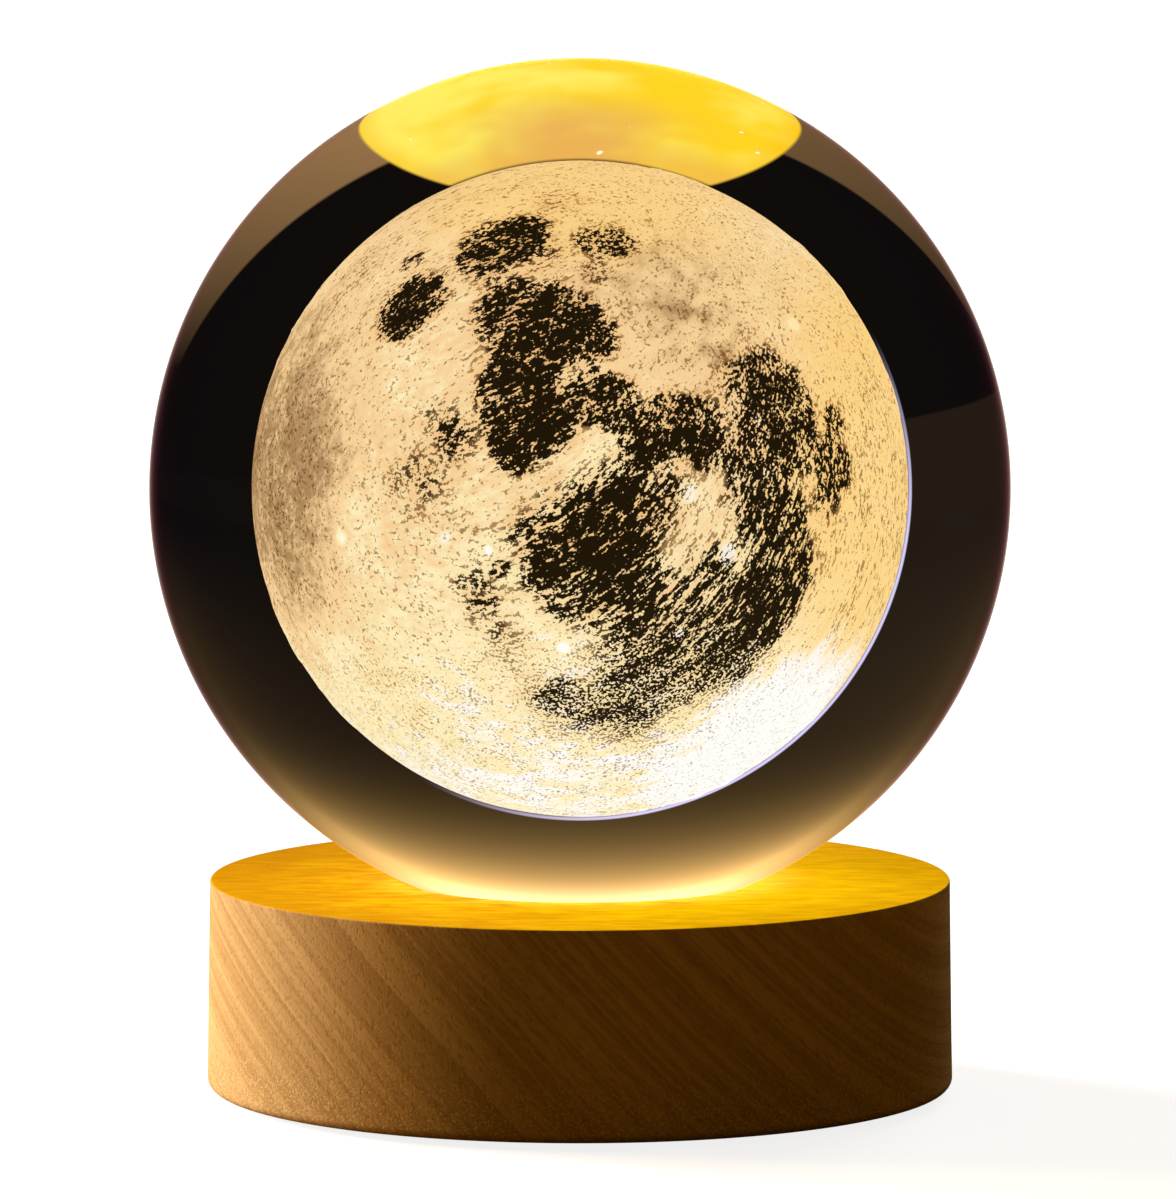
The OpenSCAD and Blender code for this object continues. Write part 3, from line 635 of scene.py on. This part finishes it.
# %% Engraving finish
def fanned(tree, direction):
    """Directions turned about the line of sight, more to the right, so that streaks fan out."""
    across = put(tree, "SeparateXYZ", {0: direction}).outputs["X"]
    angle = calc(tree, "MULTIPLY_ADD", across, -STREAK_FAN, STREAK_TURN)
    inputs = {"Vector": direction, "Axis": (0, 1, 0), "Angle": angle}
    turned = put(tree, "VectorRotate", inputs, rotation_type="AXIS_ANGLE").outputs[0]
    return calc_vector(tree, "MULTIPLY", turned, (STREAK_STRETCH, 1.0, 1.0))


def engraving():
    """Dots glowing with painted light: cream, gold at the top and right, brown on the left where the
    limb is in painted shade, white near the light.
    """
    material, tree, shader = new_finish("engraved_dots")
    chart = use(tree, lunar_map, {"Vector": own_place(tree), "Raggedness": 0.075})
    direction = chart["Direction"]
    axes = put(tree, "SeparateXYZ", {0: direction}).outputs
    streaked = fanned(tree, direction)
    fine = noise(tree, streaked, 64.0, 2.0, 0.68)
    finer = noise(tree, direction, 104.0, 1.0)
    soft = noise(tree, streaked, 26.0, 3.0, 0.7)
    broad = noise(tree, streaked, 13.0, 3.0, 0.6)
    round_share = ramp(tree, axes["Z"], -0.35, -0.65, 0.30, 0.75)
    grain = put(tree, "Mix", {"Factor": round_share, "A": fine, "B": finer}).outputs["Result"]
    level = ramp(tree, grain, 0.37, 0.63, 0.0, 1.0, smooth=False)

    # Near the light the dots flow together, and nothing dark is left between them.
    near_light = calc_vector(tree, "DOT_PRODUCT", direction, tuple(TO_LIGHT))
    near_light = swayed(tree, near_light, broad, 0.08)
    flooded = ramp(tree, near_light, 0.87, 0.985)
    plains = calc(tree, "SUBTRACT", 1.0, calc(tree, "POWER", 0.30, chart["Plains"]))
    plains = times(tree, plains, ramp(tree, broad, 0.36, 0.62, 0.76, 1.10))
    speckle = ramp(tree, broad, 0.42, 0.66, 0.06, 0.24)
    limb = ramp(tree, calc(tree, "ABSOLUTE", axes["X"]), 0.80, 1.0, 0.0, 0.12)
    worn = times(tree, chart["Dull"], ramp(tree, broad, 0.36, 0.60, 0.3, 1.0))
    dark = calc(tree, "MULTIPLY_ADD", plains, 0.86, calc(tree, "ADD", speckle, limb))
    dark = calc(tree, "MULTIPLY_ADD", worn, 0.10, dark)
    dark = calc(tree, "MULTIPLY_ADD", chart["Craters"], -0.35, dark)
    dark = times(tree, dark, calc(tree, "SUBTRACT", 1.0, flooded))
    dark = calc(tree, "MINIMUM", dark, DENSEST)
    dots = ramp(tree, calc(tree, "SUBTRACT", level, dark), *DOT_SOFTNESS)

    # Brightness of the painted light: more near the light and low down, less where the ground is
    # worn, and painted shade at the left limb.
    light = calc(tree, "MULTIPLY_ADD", axes["Z"], -0.22, 0.62)
    light = calc(tree, "MULTIPLY_ADD", axes["X"], 0.05, light)
    cloud = noise(tree, direction, 3.0, 3.0)
    leftward = swayed(tree, axes["X"], cloud, 0.2)
    light = calc(tree, "ADD", light, ramp(tree, leftward, -0.76, -1.0, 0.0, -0.46))
    light = swayed(tree, light, soft, 0.9)
    light = calc(tree, "ADD", light, ramp(tree, axes["Z"], -0.40, -0.90, 0.0, 0.12))
    light = calc(tree, "MULTIPLY_ADD", worn, -0.30, light)
    light = swayed(tree, light, cloud, 0.6)
    light = calc(tree, "MULTIPLY_ADD", chart["Craters"], 0.34, light)
    light = calc(tree, "MULTIPLY_ADD", flooded, 0.34, light)

    # Colour of the painted light: from brown to white by brightness, golden at the right limb and at
    # the top.
    dim = blend(tree, ramp(tree, light, 0.0, 0.42), DIM_BROWN, DIM_TAN)
    warm = blend(tree, ramp(tree, light, 0.42, 0.80), dim, CREAM)
    bright = blend(tree, ramp(tree, light, 0.80, 1.05), warm, NEARLY_WHITE)
    golden = calc(tree, "ABSOLUTE", calc(tree, "ADD", axes["X"], 0.1))
    golden = ramp(tree, golden, 0.72, 0.98, 0.0, 0.75)
    golden = times(tree, golden, calc(tree, "SUBTRACT", 1.0, flooded))
    golden = times(tree, golden, ramp(tree, axes["X"], 0.0, 0.5))
    golden = calc(tree, "MAXIMUM", golden, ramp(tree, axes["Z"], 0.78, 0.97, 0.0, 0.6))
    bright = blend(tree, golden, bright, GOLD)
    # In the plains the painted glow of the dots is dimmer and warmer.
    warmer_in_plains = calc_vector(tree, "MULTIPLY", bright, PLAIN_DOT_WARMTH)
    bright = blend(tree, times(tree, plains, 0.75), bright, warmer_in_plains)
    brown = calc_vector(tree, "MULTIPLY", bright, BETWEEN_DOTS)
    between = blend(tree, ramp(tree, plains, 0.16, 0.45), brown, DEEP_PLAIN)
    shown = blend(tree, dots, between, bright)
    past_the_tint = tuple(1 / math.sqrt(part) for part in PAINTED_SHADE_TINT)
    feed_all(tree, shader, {
        "Base Color": rgb(0.05, 0.04, 0.03),
        "Roughness": 0.9,
        "Specular IOR Level": 0.0,
        "Emission Color": calc_vector(tree, "MULTIPLY", shown, past_the_tint),
        "Emission Strength": 1.0,
    })
    material.cycles.emission_sampling = "NONE"
    return material


# %% A moon with relief
CRATER_COUNT, CRATER_SEED = 420, 11
SMALLEST_CRATER, CRATER_SPREAD, CRATER_DEPTH = 0.02, 0.07, 0.10
PLAIN_DEPTH, DEEPEST_PLAIN = 0.004, 0.006
DEEPEST = 0.012


def crater_profile(apart):
    """Height of a crater at this distance from its centre, in crater radii: bowl, rim, apron."""
    bowl = np.clip(apart, 0, 1) ** 2 - 1
    apron = np.exp(-((apart - 1) / 0.25) ** 2) * 0.45
    return np.where(apart < 1, np.maximum(bowl, -0.8), 0) + apron


def relief(directions):
    """Height of the moon's surface at each direction, in moon radii, never above 0."""
    height = np.zeros(len(directions))
    for place, reach, depth in PLAINS:
        apart = np.linalg.norm(directions - np.array(place), axis=1) / reach
        height -= PLAIN_DEPTH * depth * np.clip(1.3 - apart, 0, 1)
    height = np.maximum(height, -DEEPEST_PLAIN)
    random = np.random.default_rng(CRATER_SEED)
    centres = random.normal(size=(CRATER_COUNT, 3))
    centres /= np.linalg.norm(centres, axis=1)[:, None]
    sizes = SMALLEST_CRATER + CRATER_SPREAD * random.random(CRATER_COUNT) ** 4
    for centre, size in zip(centres, sizes):
        apart = np.linalg.norm(directions - centre, axis=1) / size
        near = apart < 2
        height[near] += CRATER_DEPTH * size * crater_profile(apart[near])
    return np.clip(height, -DEEPEST, None) - height.max()


moon_relief = round_ball("moon_relief", 1.0, BALL_CENTRE, fineness=7)
points = np.array([v.co for v in moon_relief.data.vertices])
points *= (MOON_R * (1 + relief(points)))[:, None]
moon_relief.data.vertices.foreach_set("co", points.ravel())
moon_relief.data.update()
moon_relief.data.materials.append(engraving())
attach(moon_relief, "crystal")
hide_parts("engraved_moon")
print("moon relief", round(1000 * np.ptp(np.linalg.norm(points, axis=1)), 3), "mm deep")

# %% [markdown]
# ## Wood
#
# The base is turned from a block whose growth layers run askew, so they come out on the side as
# lines that fall to the right. A solid texture gives that for free: the layers are planes in
# space, and the lathe cuts them wherever it likes. A few layers end in a thin dark line, short
# pores lie along them, and the end grain near the foot sparkles a little.

# %% Wood grain group
LAYER_NORMAL = Vector((1.05, -0.12, 1.0)).normalized()
FIBRE = Vector((1.0, 0.25, -1.05)).normalized()
FIBRE_SQUEEZE = 0.86
LAYER_SWAY = 0.7 * MM


def wood_grain_group():
    """Shade of the layers, pores and flecks, and a height for the bump, for a point in the wood."""
    takes = [("Vector", "vector", None), ("Layers per Metre", "number", 900.0)]
    gives = [("Shade", "number"), ("Pores", "number"), ("Flecks", "number"), ("Height", "number")]
    tree, given, result = new_group("Wood Grain", takes, gives)
    spot = given["Vector"]
    sway = noise(tree, spot, 55.0)
    depth = calc_vector(tree, "DOT_PRODUCT", spot, tuple(LAYER_NORMAL))
    depth = swayed(tree, depth, sway, LAYER_SWAY)
    layers = []
    for finer, detail in ((0.22, 1.0), (0.8, 2.0), (2.4, 2.0)):
        along = times(tree, depth, given["Layers per Metre"], finer)
        inputs = {"W": along, "Scale": 1.0, "Detail": detail}
        layer = put(tree, "TexNoise", inputs, noise_dimensions="1D").outputs[0]
        layers.append(ramp(tree, layer, 0.3, 0.7, smooth=False))
    slow, middle, quick = layers
    shade = calc(tree, "MULTIPLY_ADD", slow, 0.30, times(tree, middle, 0.42))
    shade = calc(tree, "MULTIPLY_ADD", quick, 0.28, shade)
    lines = ramp(tree, calc(tree, "ABSOLUTE", calc(tree, "SUBTRACT", middle, 0.36)), 0.07, 0.0)
    shade = calc(tree, "MULTIPLY_ADD", lines, -0.30, shade)
    run = calc_vector(tree, "DOT_PRODUCT", spot, tuple(FIBRE))
    squeezed = scaled(tree, tuple(FIBRE), times(tree, run, -FIBRE_SQUEEZE))
    drawn = calc_vector(tree, "ADD", spot, squeezed)
    pores = ramp(tree, noise(tree, drawn, 3000.0, 1.0), 0.46, 0.34)
    flecks = ramp(tree, noise(tree, spot, 4400.0, 1.0), 0.50, 0.66)
    height = calc(tree, "MULTIPLY_ADD", pores, -0.7, shade)
    height = calc(tree, "MULTIPLY_ADD", flecks, 0.35, height)
    feed_all(tree, result, {"Shade": shade, "Pores": pores, "Flecks": flecks, "Height": height})
    return tree


wood_grain = wood_grain_group()

# %% [markdown]
# The top of the wood is soaked with the light under it, and that pool of light is painted on it
# as a deep yellow glow, strongest at the dish and weaker towards the edge. Seen through the ball
# that glow has to get past the tinted glass, which lets a few thousandths of it through, so the
# finish gives rays that have crossed the ball as much more light.

# %% Light seen through the ball
def seen_glow(tree, colour, level):
    """A glowing colour that the ball doesn't dim where it is seen through it."""
    path = put(tree, "LightPath").outputs
    straight = ramp(tree, path["Diffuse Depth"], 0.0, 1.0, 1.0, 0.0, smooth=False)
    crossed = calc(tree, "GREATER_THAN", path["Transmission Depth"], 1.5)
    crossed = times(tree, crossed, straight)
    gain = blend(tree, crossed, rgb(1, 1, 1), rgb(*(1 / part for part in PAINTED_SHADE_TINT)))
    return scaled(tree, calc_vector(tree, "MULTIPLY", colour, gain), level)


# %% Colours of the wood
LIGHT_WOOD, DARK_WOOD = rgb(0.65, 0.395, 0.172), rgb(0.49, 0.28, 0.108)
PORE, DARK_FOOT, FLECK = rgb(0.30, 0.16, 0.06), rgb(0.42, 0.23, 0.085), rgb(0.90, 0.58, 0.27)
# The next colour is the wood on the top where light is painted, and the GLOW colours are that painted
# light.
LIT_WOOD = rgb(0.30, 0.11, 0.004)
GLOW_EDGE, GLOW_MIDDLE = rgb(0.67, 0.355, 0.001), rgb(0.84, 0.48, 0.001)
GLOW_SEAT, GLOW_AMBER = rgb(1.0, 0.78, 0.05), rgb(0.80, 0.32, 0.001)
GLOW_RISES_FROM, GLOW_RISES_TO = WOOD_TOP_Z - 6.5 * MM, WOOD_TOP_Z - 4.5 * MM


# %% Beech finish
def beech():
    """Turned beech, oiled matt, with painted light glowing on its top."""
    material, tree, shader = new_finish("turned_beech")
    spot = own_place(tree)
    grain = use(tree, wood_grain, {"Vector": spot, "Layers per Metre": 820.0})
    axes = put(tree, "SeparateXYZ", {0: spot}).outputs
    flat = put(tree, "CombineXYZ", {"X": axes["X"], "Y": axes["Y"]}).outputs[0]
    radius = calc_vector(tree, "LENGTH", flat)
    facing = put(tree, "SeparateXYZ", {0: put(tree, "NewGeometry").outputs["Normal"]}).outputs["Z"]
    high = ramp(tree, axes["Z"], GLOW_RISES_FROM, GLOW_RISES_TO)
    top = times(tree, ramp(tree, facing, 0.5, 0.8), high)

    side = blend(tree, ramp(tree, grain["Shade"], 0.25, 0.75), DARK_WOOD, LIGHT_WOOD)
    side = blend(tree, times(tree, grain["Pores"], 0.35), side, PORE)
    foot = ramp(tree, axes["Z"], 10.0 * MM, 1.0 * MM, 0.10, 0.62)
    side = blend(tree, times(tree, foot, 0.45), side, DARK_FOOT)
    side = blend(tree, times(tree, grain["Flecks"], foot), side, FLECK)

    # Painted light on the top: brightest at the seat, weaker towards the edge and the back, brighter
    # to the right, broken by amber grain streaks.
    near = ramp(tree, radius, SEAT_R + 6 * MM, SEAT_R - 2 * MM)
    outer = ramp(tree, radius, WOOD_R, SEAT_R + 6 * MM)
    glow = blend(tree, near, blend(tree, outer, GLOW_EDGE, GLOW_MIDDLE), GLOW_SEAT)
    behind = ramp(tree, axes["Y"], -0.4 * WOOD_R, 0.5 * WOOD_R, 1.0, 0.66)
    behind = calc(tree, "MAXIMUM", behind, near)
    streaks = noise(tree, calc_vector(tree, "MULTIPLY", spot, (1, 3.5, 1)), 260.0, 3.0, 0.6)
    streaks = ramp(tree, streaks, 0.3, 0.7, 0.82, 1.12)
    cloudy = noise(tree, spot, 95.0, 3.0, 0.6)
    cloudy = calc(tree, "MULTIPLY_ADD", axes["X"], 0.45 / WOOD_R, cloudy)
    streaks = times(tree, streaks, ramp(tree, cloudy, 0.12, 0.70, 0.80, 1.12))
    glow = blend(tree, ramp(tree, streaks, 1.0, 0.62, 0.0, 0.8), glow, GLOW_AMBER)
    level = times(tree, top, streaks, behind)
    feed_all(tree, shader, {
        "Base Color": blend(tree, top, side, LIT_WOOD),
        "Roughness": ramp(tree, grain["Shade"], 0.2, 0.8, 0.62, 0.5),
        "Specular IOR Level": 0.0,
        "Normal": bump(tree, grain["Height"], 0.02 * MM, 0.6),
        "Emission Color": seen_glow(tree, glow, level),
        "Emission Strength": 1.0,
    })
    material.cycles.emission_sampling = "NONE"
    return material


# %% Dressing the nodes
def dress(node, finish):
    """Gives a CAD node its finish, in place of the plain one it came with."""
    mesh = nodes[node].data
    mesh.materials.clear()
    mesh.materials.append(finish)


def glowing_lens():
    """Frosted plastic with the light board close under it."""
    material, tree, shader = new_finish("frosted_lens")
    spot = own_place(tree)
    frost = noise(tree, spot, 2500.0, 3.0)
    mottle = ramp(tree, noise(tree, spot, 220.0), 0.3, 0.7, 0.85, 1.0)
    feed_all(tree, shader, {
        "Base Color": rgb(0.85, 0.80, 0.66),
        "Roughness": ramp(tree, frost, 0.3, 0.7, 0.45, 0.6),
        "Normal": bump(tree, frost, 0.02 * MM, 0.6),
        "Emission Color": seen_glow(tree, (0.95, 0.55, 0.12), mottle),
        "Emission Strength": 1.0,
    })
    material.cycles.emission_sampling = "NONE"
    return material


dress("wooden_base", beech())
dress("diffuser_lens", glowing_lens())

# %% [markdown]
# ## Plastic, rubber and ceramic
#
# The parts under the wood are mostly moulded. One group gives them all the same kind of skin, with
# their own colour and coarseness: the fine pits that a spark leaves in the mould, cloudy gloss,
# and a little pale dust that settles in patches.

# %% Moulded skin group
def moulded_skin_group():
    """Colour, roughness and height of a moulded surface, for a point, a colour and a pit size."""
    takes = [
        ("Vector", "vector", None), ("Colour", "colour", rgb(0.5, 0.5, 0.5)),
        ("Pits per Metre", "number", 4000.0), ("Roughness", "number", 0.5), ("Dust", "number", 0.1),
    ]
    gives = [("Colour", "colour"), ("Roughness", "number"), ("Height", "number")]
    tree, given, result = new_group("Moulded Skin", takes, gives)
    spot = given["Vector"]
    pits = noise(tree, spot, given["Pits per Metre"], 2.0, 0.6)
    cloud = noise(tree, spot, 340.0, 4.0, 0.6)
    dust = noise(tree, spot, 1500.0, 3.0, 0.7)
    darker, lighter = rgb(0.84, 0.84, 0.84), rgb(1.12, 1.12, 1.12)
    shaded = blend(tree, ramp(tree, pits, 0.3, 0.7), darker, lighter)
    colour = calc_vector(tree, "MULTIPLY", given["Colour"], shaded)
    settled = times(tree, ramp(tree, dust, 0.52, 0.72), ramp(tree, cloud, 0.4, 0.7))
    colour = blend(tree, times(tree, settled, given["Dust"]), colour, rgb(0.55, 0.52, 0.47))
    gloss = swayed(tree, given["Roughness"], cloud, 0.25)
    feed_all(tree, result, {"Colour": colour, "Roughness": gloss, "Height": pits})
    return tree


moulded_skin = moulded_skin_group()


# %% Moulded finishes
def moulded(name, colour, roughness, pits=4000.0, deep=0.02, dust=0.1):
    """A plain moulded plastic, or rubber or ceramic with a finer or duller skin."""
    material, tree, shader = new_finish(name)
    skin = use(tree, moulded_skin, {
        "Vector": own_place(tree), "Colour": rgb(*colour), "Pits per Metre": pits,
        "Roughness": roughness, "Dust": dust,
    })
    feed_all(tree, shader, {
        "Base Color": skin["Colour"],
        "Roughness": skin["Roughness"],
        "Normal": bump(tree, skin["Height"], deep * MM, 0.7),
    })
    return material


FINEST = 9000.0
for node, name, colour, roughness, skin in (
    ("rear_bezel", "bezel_black", (0.035, 0.032, 0.030), 0.55,
     dict(pits=5200.0, deep=0.03, dust=0.25)),
    ("power_button", "button_grey", (0.16, 0.15, 0.14), 0.36, dict(pits=7000.0, deep=0.01)),
    ("bottom_cover", "cover_black", (0.034, 0.032, 0.030), 0.62,
     dict(pits=3200.0, deep=0.05, dust=0.35)),
    ("rubber_feet", "foot_rubber", (0.028, 0.028, 0.028), 0.85, dict(pits=6500.0, dust=0.5)),
    ("switch_body", "switch_black", (0.03, 0.03, 0.032), 0.5, {}),
    ("switch_plunger", "plunger_black", (0.05, 0.05, 0.055), 0.42, dict(pits=6000.0)),
    ("usb_socket_tongue", "socket_black", (0.03, 0.03, 0.034), 0.45, dict(pits=8000.0, deep=0.01)),
    ("driver_chip", "chip_black", (0.025, 0.025, 0.027), 0.6, dict(pits=FINEST)),
    ("chip_resistors", "resistor_black", (0.04, 0.04, 0.045), 0.35, dict(pits=FINEST, deep=0.01)),
    ("chip_capacitors", "capacitor_tan", (0.45, 0.32, 0.18), 0.4, dict(pits=FINEST, deep=0.01)),
    ("lead_connector", "connector_white", (0.80, 0.78, 0.70), 0.45, {}),
    ("reflector_cup", "white_cup", (0.86, 0.84, 0.78), 0.35, dict(pits=2600.0, deep=0.01)),
    ("led_packages", "light_package", (0.84, 0.82, 0.75), 0.35, dict(pits=FINEST, deep=0.01)),
    ("red_lead", "red_insulation", (0.55, 0.03, 0.02), 0.42, dict(pits=2500.0)),
    ("black_lead", "black_insulation", (0.03, 0.03, 0.03), 0.42, dict(pits=2500.0)),
):
    dress(node, moulded(name, colour, roughness, **skin))
print("moulded parts dressed")

# %% [markdown]
# ## Metal
#
# Screws, spacers, contacts and the shell of the inlet share one group. Fine lines run round or
# along the part, as a lathe or a press tool leaves them, and dull stains break up the shine.

# %% Metal skin group
def metal_skin_group():
    """Colour, roughness and height of worked metal. Grain stretches the lines along an axis."""
    takes = [
        ("Vector", "vector", None), ("Colour", "colour", rgb(0.7, 0.7, 0.7)),
        ("Grain", "vector", (1.0, 1.0, 1.0)), ("Roughness", "number", 0.3),
    ]
    gives = [("Colour", "colour"), ("Roughness", "number"), ("Height", "number")]
    tree, given, result = new_group("Metal Skin", takes, gives)
    drawn = calc_vector(tree, "MULTIPLY", given["Vector"], given["Grain"])
    lines = noise(tree, drawn, 9000.0, 2.0, 0.6)
    stain = noise(tree, given["Vector"], 800.0, 4.0, 0.65)
    dull = ramp(tree, stain, 0.5, 0.75)
    worn = calc_vector(tree, "MULTIPLY", given["Colour"], (0.62, 0.58, 0.52))
    colour = blend(tree, times(tree, dull, 0.7), given["Colour"], worn)
    rough = calc(tree, "MULTIPLY_ADD", dull, 0.22, given["Roughness"])
    rough = swayed(tree, rough, lines, 0.25)
    feed_all(tree, result, {"Colour": colour, "Roughness": rough, "Height": lines})
    return tree


metal_skin = metal_skin_group()


# %% Metal finishes
LINE_DEPTH = 0.01 * MM


def worked_metal(name, colour, roughness, grain):
    """A metal part. grain squeezes space along the axis on which the lines run."""
    material, tree, shader = new_finish(name)
    skin = use(tree, metal_skin, {
        "Vector": own_place(tree), "Colour": rgb(*colour), "Grain": grain, "Roughness": roughness,
    })
    feed_all(tree, shader, {
        "Base Color": skin["Colour"],
        "Metallic": 1.0,
        "Roughness": skin["Roughness"],
        "Normal": bump(tree, skin["Height"], LINE_DEPTH, 0.6),
    })
    return material


ALONG_Y, LEVEL, PLAIN = (1.0, 0.05, 1.0), (0.15, 0.15, 1.0), (1.0, 1.0, 1.0)
zinc = worked_metal("screw_zinc", (0.60, 0.61, 0.63), 0.34, LEVEL)
for screws in ("led_board_screws", "control_board_screws", "bottom_cover_screws"):
    dress(screws, zinc)
dress("board_spacers", worked_metal("spacer_brass", (0.78, 0.56, 0.24), 0.28, LEVEL))
dress("usb_socket_shell", worked_metal("socket_nickel", (0.72, 0.70, 0.67), 0.26, ALONG_Y))
dress("usb_contacts", worked_metal("gold_contact", (0.95, 0.68, 0.26), 0.2, ALONG_Y))
dress("driver_chip_pins", worked_metal("tinned_pin", (0.74, 0.74, 0.72), 0.38, PLAIN))
print("metal parts dressed")

# %% [markdown]
# ## Boards and lights
#
# The boards carry their copper under a coat of mask, so the tracks show as slightly paler ridges.
# Straight tracks come from bricks with wide gaps, laid one way on one half of the board and the
# other way on the rest. Small tinned vias sit between them. The phosphor glows through its gel.

# %% Board group
def board_skin_group():
    """Tracks under the mask, vias, and a height, for a point on a board."""
    takes = [("Vector", "vector", None), ("Tracks per Metre", "number", 700.0)]
    gives = [("Tracks", "number"), ("Vias", "number"), ("Height", "number")]
    tree, given, result = new_group("Board Skin", takes, gives)
    axes = put(tree, "SeparateXYZ", {0: given["Vector"]}).outputs
    swapped = put(tree, "CombineXYZ", {"X": axes["Y"], "Y": axes["X"]}).outputs[0]
    part = ramp(tree, noise(tree, given["Vector"], 95.0, 0.0), 0.495, 0.505)
    turned = {"Factor": part, 4: given["Vector"], 5: swapped}
    laid = put(tree, "Mix", turned, data_type="VECTOR").outputs[1]
    bricks = put(tree, "TexBrick", {
        "Vector": laid, "Color1": rgb(1, 1, 1), "Color2": rgb(0, 0, 0), "Mortar": rgb(0, 0, 0),
        "Mortar Size": 0.006, "Mortar Smooth": 0.2, "Brick Width": 3.4, "Row Height": 0.5,
        "Scale": given["Tracks per Metre"],
    })
    cells = put(tree, "TexVoronoi", {"Vector": given["Vector"], "Scale": 520.0})
    tracks = ramp(tree, bricks.outputs["Color"], 0.45, 0.55)
    vias = ramp(tree, cells.outputs["Distance"], 0.16, 0.12)
    height = calc(tree, "MULTIPLY_ADD", vias, -0.6, tracks)
    feed_all(tree, result, {"Tracks": tracks, "Vias": vias, "Height": height})
    return tree


board_skin = board_skin_group()


# %% Board and phosphor finishes
def board(name, mask, track, roughness):
    """A circuit board with a mask of this colour, paler or darker over the tracks."""
    material, tree, shader = new_finish(name)
    spot = own_place(tree)
    skin = use(tree, board_skin, {"Vector": spot, "Tracks per Metre": 700.0})
    cloud = noise(tree, spot, 260.0, 3.0)
    base = blend(tree, skin["Tracks"], rgb(*mask), rgb(*track))
    feed_all(tree, shader, {
        "Base Color": blend(tree, skin["Vias"], base, rgb(0.50, 0.45, 0.33)),
        "Metallic": times(tree, skin["Vias"], 0.8),
        "Roughness": ramp(tree, cloud, 0.3, 0.7, roughness - 0.06, roughness + 0.08),
        "Normal": bump(tree, skin["Height"], 0.035 * MM, 0.8),
    })
    return material


def glowing_phosphor():
    """Yellow gel with the chip alight in it."""
    material, tree, shader = new_finish("phosphor")
    spot = own_place(tree)
    grains = noise(tree, spot, 7000.0, 2.0)
    feed_all(tree, shader, {
        "Base Color": blend(tree, grains, rgb(0.90, 0.55, 0.10), rgb(0.98, 0.78, 0.22)),
        "Roughness": ramp(tree, grains, 0.3, 0.7, 0.25, 0.4),
        "Normal": bump(tree, grains, 0.01 * MM, 0.6),
        "Emission Color": rgb(1.0, 0.72, 0.28),
        "Emission Strength": ramp(tree, noise(tree, spot, 900.0), 0.3, 0.7, 1.2, 2.0),
    })
    return material


dress("control_board", board("board_green", (0.012, 0.11, 0.045), (0.03, 0.20, 0.085), 0.36))
dress("led_board", board("board_white", (0.80, 0.79, 0.75), (0.70, 0.69, 0.64), 0.42))
dress("led_phosphor", glowing_phosphor())
print(sum(1 for part in nodes.values() if part.data.materials), "parts carry a finish")
